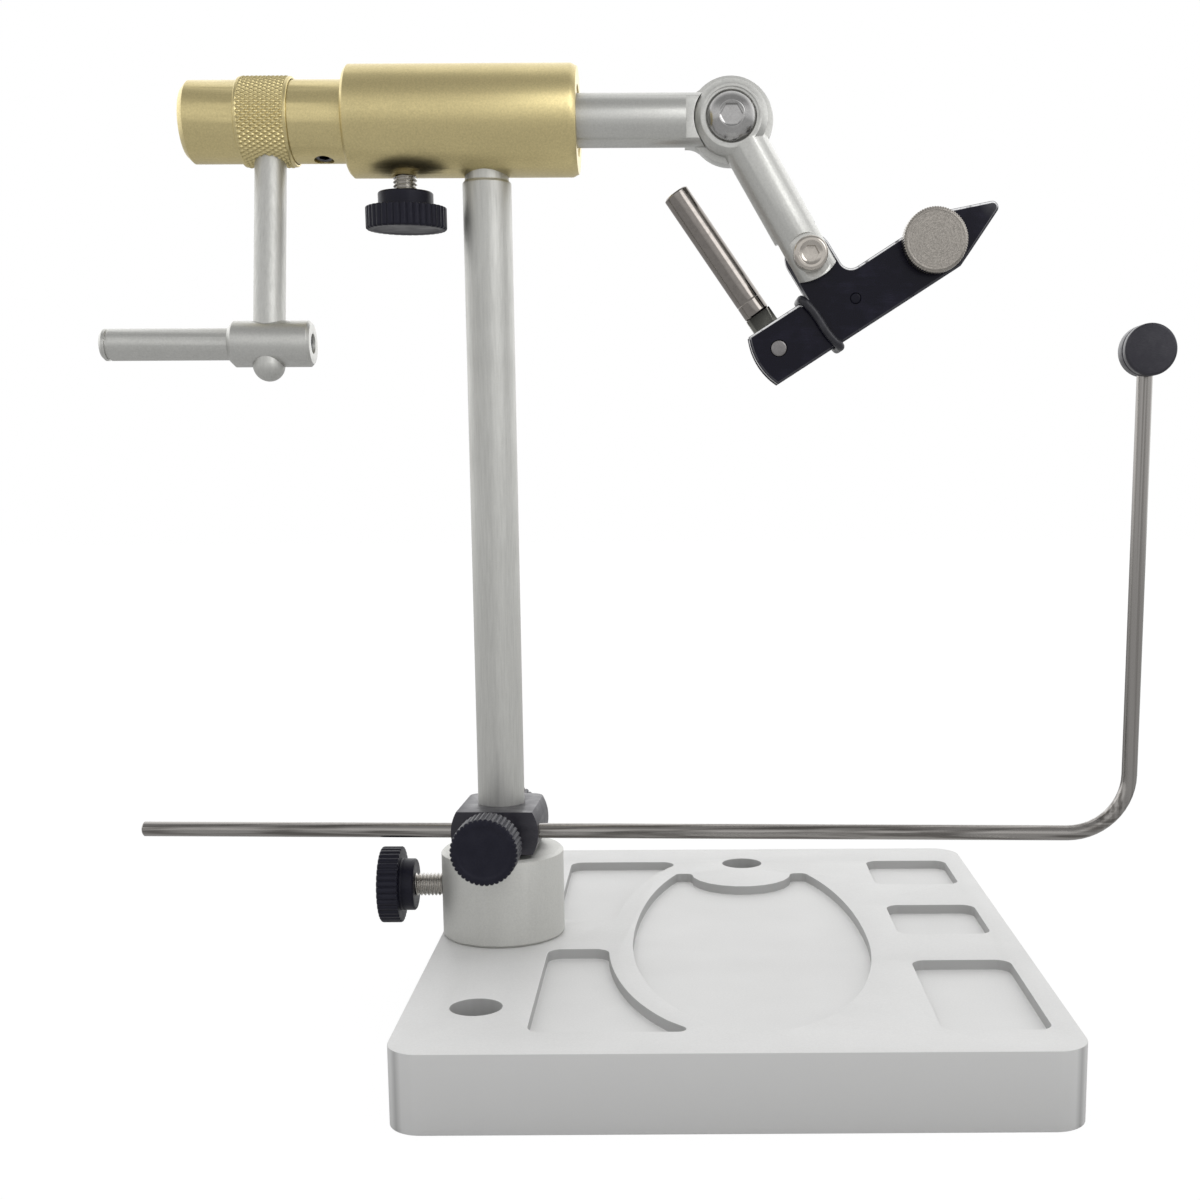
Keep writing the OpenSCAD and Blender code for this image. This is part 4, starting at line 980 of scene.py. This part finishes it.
def ring_path():
    """Even points along a rectangle with rounded corners, as Y and the height across the jaws,
    and the direction of the path at each."""
    front, back, low, top = RING_BOX
    c = RING_CORNER
    quarter = TURN / 4
    turn = np.linspace(0.0, quarter, RING_CORNER_STEPS)
    corners = [(back - c, top - c), (front + c, top - c), (front + c, low + c), (back - c, low + c)]
    loop = np.vstack([
        np.stack([y + c * np.cos(turn + q * quarter), z + c * np.sin(turn + q * quarter)], -1)
        for q, (y, z) in enumerate(corners)])
    step = np.linalg.norm(np.roll(loop, -1, axis=0) - loop, axis=1)
    length = np.concatenate([[0.0], np.cumsum(step)])
    at = np.linspace(0.0, length[-1], RING_ROWS + 1)[:-1]
    path = np.stack([np.interp(at, length, np.append(loop[:, i], loop[0, i])) for i in (0, 1)], -1)
    ahead = np.roll(path, -1, axis=0) - np.roll(path, 1, axis=0)
    return path, ahead / np.linalg.norm(ahead, axis=1)[:, None]


def rubber_ring():
    """A round cord along a loop round the jaws, whose front and back runs sway sideways as one
    sine wave from top to bottom. Across the loop the surface is centre + radius * (cos *
    outward + sin * sideways)."""
    path, ahead = ring_path()
    low, top = RING_BOX[2:]
    outward = np.stack([ahead[:, 1], -ahead[:, 0]], -1)
    upright = np.abs(ahead[:, 1]) ** 2
    height = (path[:, 1] - low) / (top - low)
    sway = RING_BOW * np.sin(TURN * height) * upright * np.sign(ahead[:, 1])
    ring = np.linspace(0.0, TURN, RING_COLUMNS, endpoint=False)
    flat = path[:, None, :] + RING_RADIUS * np.cos(ring)[None, :, None] * outward[:, None, :]
    sideways = sway[:, None] + RING_RADIUS * np.sin(ring)[None, :]
    slope = JAW_SLOPE + RING_LEAN
    pin = middle("cam_pin") / MM
    centre = np.array([pin[0], 0.0, pin[2]]) + RING_ALONG * JAW_ALONG
    points = (centre + flat[..., :1] * np.array(Y_RAY)
              + flat[..., 1:] * np.array([-math.sin(slope), 0.0, math.cos(slope)])
              + sideways[..., None] * np.array([math.cos(slope), 0.0, math.sin(slope)])) * MM
    stand_in("jaw_ring_band", grid_mesh("jaw_ring_band", points, loop=True), "jaw_ring")


# Soft edges on the machined parts, in millimetres

EDGE_OF = {
    "base_plate": 0.15, "post_holder": 0.25, "post": 0.15, "clamp_block": 0.3, "barrel": 0.2,
    "rear_hub": 0.15, "shaft": 0.25, "arm": 0.2, "crank_handle": 0.15,
    "thread_disc_back": 0.2, "thread_disc_front": 0.2, "front_bush": 0.2,
}
EDGE_SEGMENTS = 3
# Faces that meet at more than the first angle get an edge, and under the second one they are
# parts of one flat face
EDGE_ANGLE = math.radians(32)
FLAT_ANGLE = math.radians(1.0)


def merged(node):
    """A working copy of a CAD node's mesh, with its loose triangles joined."""
    work = bmesh.new()
    work.from_mesh(NODES[node].data)
    bmesh.ops.remove_doubles(work, verts=work.verts, dist=SAME_PLACE)
    return work


def to_mesh(work, name):
    mesh = bpy.data.meshes.new(name)
    work.to_mesh(mesh)
    work.free()
    return mesh


def flattened(node):
    """A working copy of a CAD node's mesh, with the triangles of each flat face joined."""
    work = merged(node)
    bmesh.ops.dissolve_limit(work, angle_limit=FLAT_ANGLE, verts=work.verts, edges=work.edges,
                             use_dissolve_boundaries=False)
    return work


def keep_near(mesh, axis, most):
    """Pulls a mesh's corners straight towards an axis until none is further from it than the
    given distance."""
    place = np.empty(len(mesh.vertices) * 3)
    mesh.vertices.foreach_get("co", place)
    offset = place.reshape(-1, 3) / MM - axis.origin
    height = (offset @ axis.along)[:, None] * axis.along
    out = offset - height
    far = np.linalg.norm(out, axis=1)[:, None]
    pulled = axis.origin + height + out * np.minimum(1.0, most / np.maximum(far, SAME_PLACE))
    mesh.vertices.foreach_set("co", (pulled * MM).ravel())


def soften(node, width, most=None):
    """Replaces a node by a copy of its own mesh whose edges are rounded by a bevel of the given
    width. No corner stays further from the rotary axis than the given distance, where one is
    given."""
    mesh = to_mesh(flattened(node), node + "_soft")
    if most:
        keep_near(mesh, joint_axis("rotary_turn"), most)
    piece = stand_in(node + "_soft", smooth(mesh), node)
    bevel = piece.modifiers.new("rounded edges", "BEVEL")
    bevel.width = width * MM
    bevel.segments = EDGE_SEGMENTS
    bevel.limit_method = "ANGLE"
    bevel.angle_limit = EDGE_ANGLE
    bevel.harden_normals = True
    bevel.miter_outer = "MITER_ARC"


# Rounded outlines of the jaws

# Each jaw's outer side as a direction along Y, and its edge's width and depth
JAWS = {"fixed_jaw": (-1, 0.48, 0.48), "moving_jaw": (1, 0.28, 0.36)}
JAW_STEPS = 6
# A face is on the outer side where its normal's share along Y is over the first limit, and a
# side face where it is under the second one
OUTER_LIMIT = 0.9
SIDE_LIMIT = 0.5
# Edges this near to one of these holes' middles belong to the hole
JAW_HOLES = ("cam_pin", "guide_pin", "adjusting_screw", "tilt_screw")
HOLE_REACH = 2.7


def outline_walls(work, outer):
    """The edges of a jaw's outline on its outer side, each with the normal of its side face."""
    centres = [middle(pin)[[0, 2]] for pin in JAW_HOLES]
    walls = {}
    for edge in work.edges:
        beside = [face for face in edge.link_faces if abs(face.normal.y) < SIDE_LIMIT]
        ends = np.array([corner.co for corner in edge.verts])[:, [0, 2]]
        free = min(np.linalg.norm(ends - c, axis=1).min() for c in centres) > HOLE_REACH * MM
        if len(beside) == 1 and len(outer.intersection(edge.link_faces)) == 1 and free:
            walls[edge] = np.array(beside[0].normal)
    return walls


def corner_rings(work, walls, outer, side, width, depth):
    """New corners from each corner of the outline down to its side faces. The corner itself
    moves inwards by the mitre of its side faces' normals, -width * (a + b) / (1 + a.b), along
    the outer face; from there, at angle t of a quarter ellipse, it is inwards * (1 - sin t) and
    depth * (1 - cos t)."""
    turn = np.linspace(0.0, TURN / 4, JAW_STEPS + 1)[:, None]
    deep = np.array([0.0, -side * depth, 0.0])
    rings = {}
    for corner in sorted({corner for edge in walls for corner in edge.verts}, key=lambda v: v.index):
        normals = [walls[edge] for edge in corner.link_edges if edge in walls]
        inward = -width * sum(normals) / (1.0 + normals[0] @ normals[-1])
        slopes = [-(face.normal.x * inward[0] + face.normal.z * inward[2]) / face.normal.y
                  for face in corner.link_faces if face in outer]
        inward[1] = sum(slopes) / len(slopes)
        path = np.array(corner.co) + inward * (1.0 - np.sin(turn)) + deep * (1.0 - np.cos(turn))
        rings[corner] = [corner] + [work.verts.new(place) for place in path[1:]]
        rings[corner][0].co = path[0]
    return rings


def move_side_faces(work, rings, outer):
    """Builds the side faces again from the rings' last corners, with the same sharp edges."""
    beside = {face for corner in rings for face in corner.link_faces if face not in outer}
    for face in sorted(beside, key=lambda f: f.index):
        corners = [rings[corner][-1] if corner in rings else corner for corner in face.verts]
        flags = {(one, two): edge.smooth for one, two, edge in
                 zip(corners, corners[1:] + corners[:1], face.edges)}
        work.faces.remove(face)
        again = work.faces.new(corners)
        for loop in again.loops:
            loop.edge.smooth = flags[(loop.vert, loop.link_loop_next.vert)]


def rounded_jaw(node, side, width, depth):
    """Replaces a jaw by a copy of its mesh whose outline is rounded on the outer side, which
    faces along side * Y. Rows of faces along the rings of new corners fill the rounding, and
    its first and last row end in sharp edges."""
    work = flattened(node)
    work.verts.index_update()
    work.faces.index_update()
    for edge in work.edges:
        edge.smooth = edge.calc_face_angle(0.0) < EDGE_ANGLE
    outer = {face for face in work.faces if side * face.normal.y > OUTER_LIMIT}
    walls = outline_walls(work, outer)
    rings = corner_rings(work, walls, outer, side, width * MM, depth * MM)
    move_side_faces(work, rings, outer)
    for one, two in [edge.verts for edge in walls]:
        for k in range(JAW_STEPS):
            work.faces.new([rings[one][k], rings[two][k], rings[two][k + 1], rings[one][k + 1]])
        for k in (0, JAW_STEPS):
            work.edges.get((rings[one][k], rings[two][k])).smooth = False
    loose = [corner for corner in work.verts if not corner.link_faces]
    bmesh.ops.delete(work, geom=loose, context="VERTS")
    bmesh.ops.delete(work, geom=[edge for edge in work.edges if not edge.link_faces], context="EDGES")
    bmesh.ops.recalc_face_normals(work, faces=work.faces)
    stand_in(node + "_soft", smooth(to_mesh(work, node + "_soft")), node)


def dress():
    """Gives every CAD node its finish, then adds the detailed pieces."""
    for node, thing in NODES.items():
        thing.data.materials.clear()
        thing.data.materials.append(FINISHES[finish_of(node)])
    band = knurled_band()
    for node, width in EDGE_OF.items():
        soften(node, width, band if node == "rear_hub" else None)
    for node, (side, width, depth) in JAWS.items():
        rounded_jaw(node, side, width, depth)
    for node, joint in STUDS.items():
        threaded_stud(node, joint)
    for node, sizes in KNOBS.items():
        ribbed_knob(node, *sizes)
    knurled_screw()
    lever_bar()
    lever_cam()
    screws()
    for node, edge in PIN_EDGES.items():
        round_pin(node, edge)
    rubber_ring()


# Studio: pale floor, soft lamps, white background

# Just over 1, so that the background stays white through the renderer's rounding
WHITE = 1.03
FLOOR_SIZE = 2000.0
FLOOR_COLOR = (0.66, 0.66, 0.66)
# The floor's share of white near the object, and its level in reflections
FLOOR_WHITE = 0.94
FLOOR_IN_METAL = 0.55
# Between these distances from the middle the floor turns wholly white
SHADE_REACH = (260.0, 900.0)


def add_floor():
    """A large pale floor just under the base plate. Near the object it takes the shadow; further
    out it turns to the white of the background for the camera. Metal sees it at its own level."""
    size = FLOOR_SIZE * MM
    corners = [(-size, -size, 0), (size, -size, 0), (size, size, 0), (-size, size, 0)]
    mesh = bpy.data.meshes.new("floor")
    mesh.from_pydata(corners, [], [(0, 1, 2, 3)])
    floor = bpy.data.objects.new("floor", mesh)
    bpy.context.collection.objects.link(floor)
    finish = Finish("floor", FLOOR_COLOR, 0.8)
    away = finish.distance(finish.where(), (0.0, 0.0, 0.0))
    far = finish.steps(away, SHADE_REACH[0] * MM, SHADE_REACH[1] * MM)
    camera, glossy, through = finish.rays()
    white = finish.node("ShaderNodeEmission", None, {
        "Color": (1.0, 1.0, 1.0, 1.0), "Strength": WHITE - glossy * (WHITE - FLOOR_IN_METAL)})
    lifted = finish.node("ShaderNodeMixShader", None, {
        0: (camera + through + glossy) * (far * (1.0 - FLOOR_WHITE) + FLOOR_WHITE),
        1: Wire(finish, finish.shader.outputs[0]), 2: white})
    finish.fill(finish.tree.nodes["Material Output"].inputs["Surface"], lifted)
    mesh.materials.append(finish.material)


# Each lamp's place, the place it looks at, its width and height, and its power
LAMPS = {
    "key": ((-260, -640, 760), (0, 0, 110), (900, 600), 1.3),
    "fill": ((640, -300, 260), (0, 0, 110), (600, 600), 0.5),
    "top": ((0, 60, 800), (0, 0, 60), (900, 700), 1.2),
}


def add_lamp(name, place, target, size, power):
    """A soft rectangular lamp that looks at a target; places are in millimetres. Metal doesn't
    reflect it, because it sees the tent instead."""
    data = bpy.data.lights.new(name, "AREA")
    data.shape = "RECTANGLE"
    data.size, data.size_y = size[0] * MM, size[1] * MM
    data.energy = power
    lamp = bpy.data.objects.new(name, data)
    lamp.visible_glossy = False
    bpy.context.collection.objects.link(lamp)
    away = np.array(place, float) - np.array(target, float)
    away /= np.linalg.norm(away)
    side = np.cross([0.0, 0.0, 1.0], away)
    side /= np.linalg.norm(side)
    pose = np.eye(4)
    pose[:3, 0], pose[:3, 1], pose[:3, 2] = side, np.cross(away, side), away
    pose[:3, 3] = np.array(place) * MM
    lamp.matrix_world = Matrix(pose.tolist())


# Levels that metal sees in the tent: everywhere, on the back wall, in the band low in front
# and on the sides, and in the small window on the right
TENT_LEVEL = 0.42
WALL_LEVEL = 0.78
BAND_LEVEL = 0.50
WINDOW_LEVEL = 2.3
WINDOW_RAY = (0.553, -0.681, 0.480)
# Levels that matt surfaces see: everywhere, towards the top and towards the back
MATT_LEVEL = 0.38
MATT_TOP = 0.50
MATT_BACK = 0.14


def add_world():
    """The light tent. White for the camera. Metal sees a bright back wall, a pale band low in
    front and on the sides, and a small bright window on the right; matt surfaces get a level
    that rises from the floor to the top."""
    world = bpy.data.worlds.new("studio")
    bpy.context.scene.world = world
    world.use_nodes = True
    world.node_tree.nodes.clear()
    tent = Nodes(world.node_tree)
    ray = tent.node("ShaderNodeTexCoord", output="Generated")
    height = tent.share(ray, Z_RAY)
    behind = tent.share(ray, Y_RAY)
    wall = tent.steps(behind, 0.0, 0.35) * tent.steps(height, -0.3, 0.2)
    band = tent.steps(height, -0.30, 0.10) * tent.steps(height, 0.76, 0.40)
    window = tent.steps(tent.share(ray, WINDOW_RAY), 0.945, 0.98)
    metal = TENT_LEVEL + wall * WALL_LEVEL + band * BAND_LEVEL + window * WINDOW_LEVEL
    matt = MATT_LEVEL + tent.steps(height, -0.1, 0.95) * MATT_TOP + tent.steps(behind, -0.3, 0.9) * MATT_BACK
    camera, glossy, through = tent.rays()
    clear = camera + through
    level = clear + (1.0 - clear) * (glossy * metal + (1.0 - glossy) * matt)
    soft = tent.node("ShaderNodeBackground", None, {"Color": (1.0, 1.0, 1.0, 1.0), "Strength": level})
    tent.fill(tent.tree.nodes.new("ShaderNodeOutputWorld").inputs["Surface"], soft)


add_camera()
dress()
add_floor()
add_world()
for lamp_name, lamp in LAMPS.items():
    add_lamp(lamp_name, *lamp)
bpy.context.scene.view_settings.view_transform = "Standard"
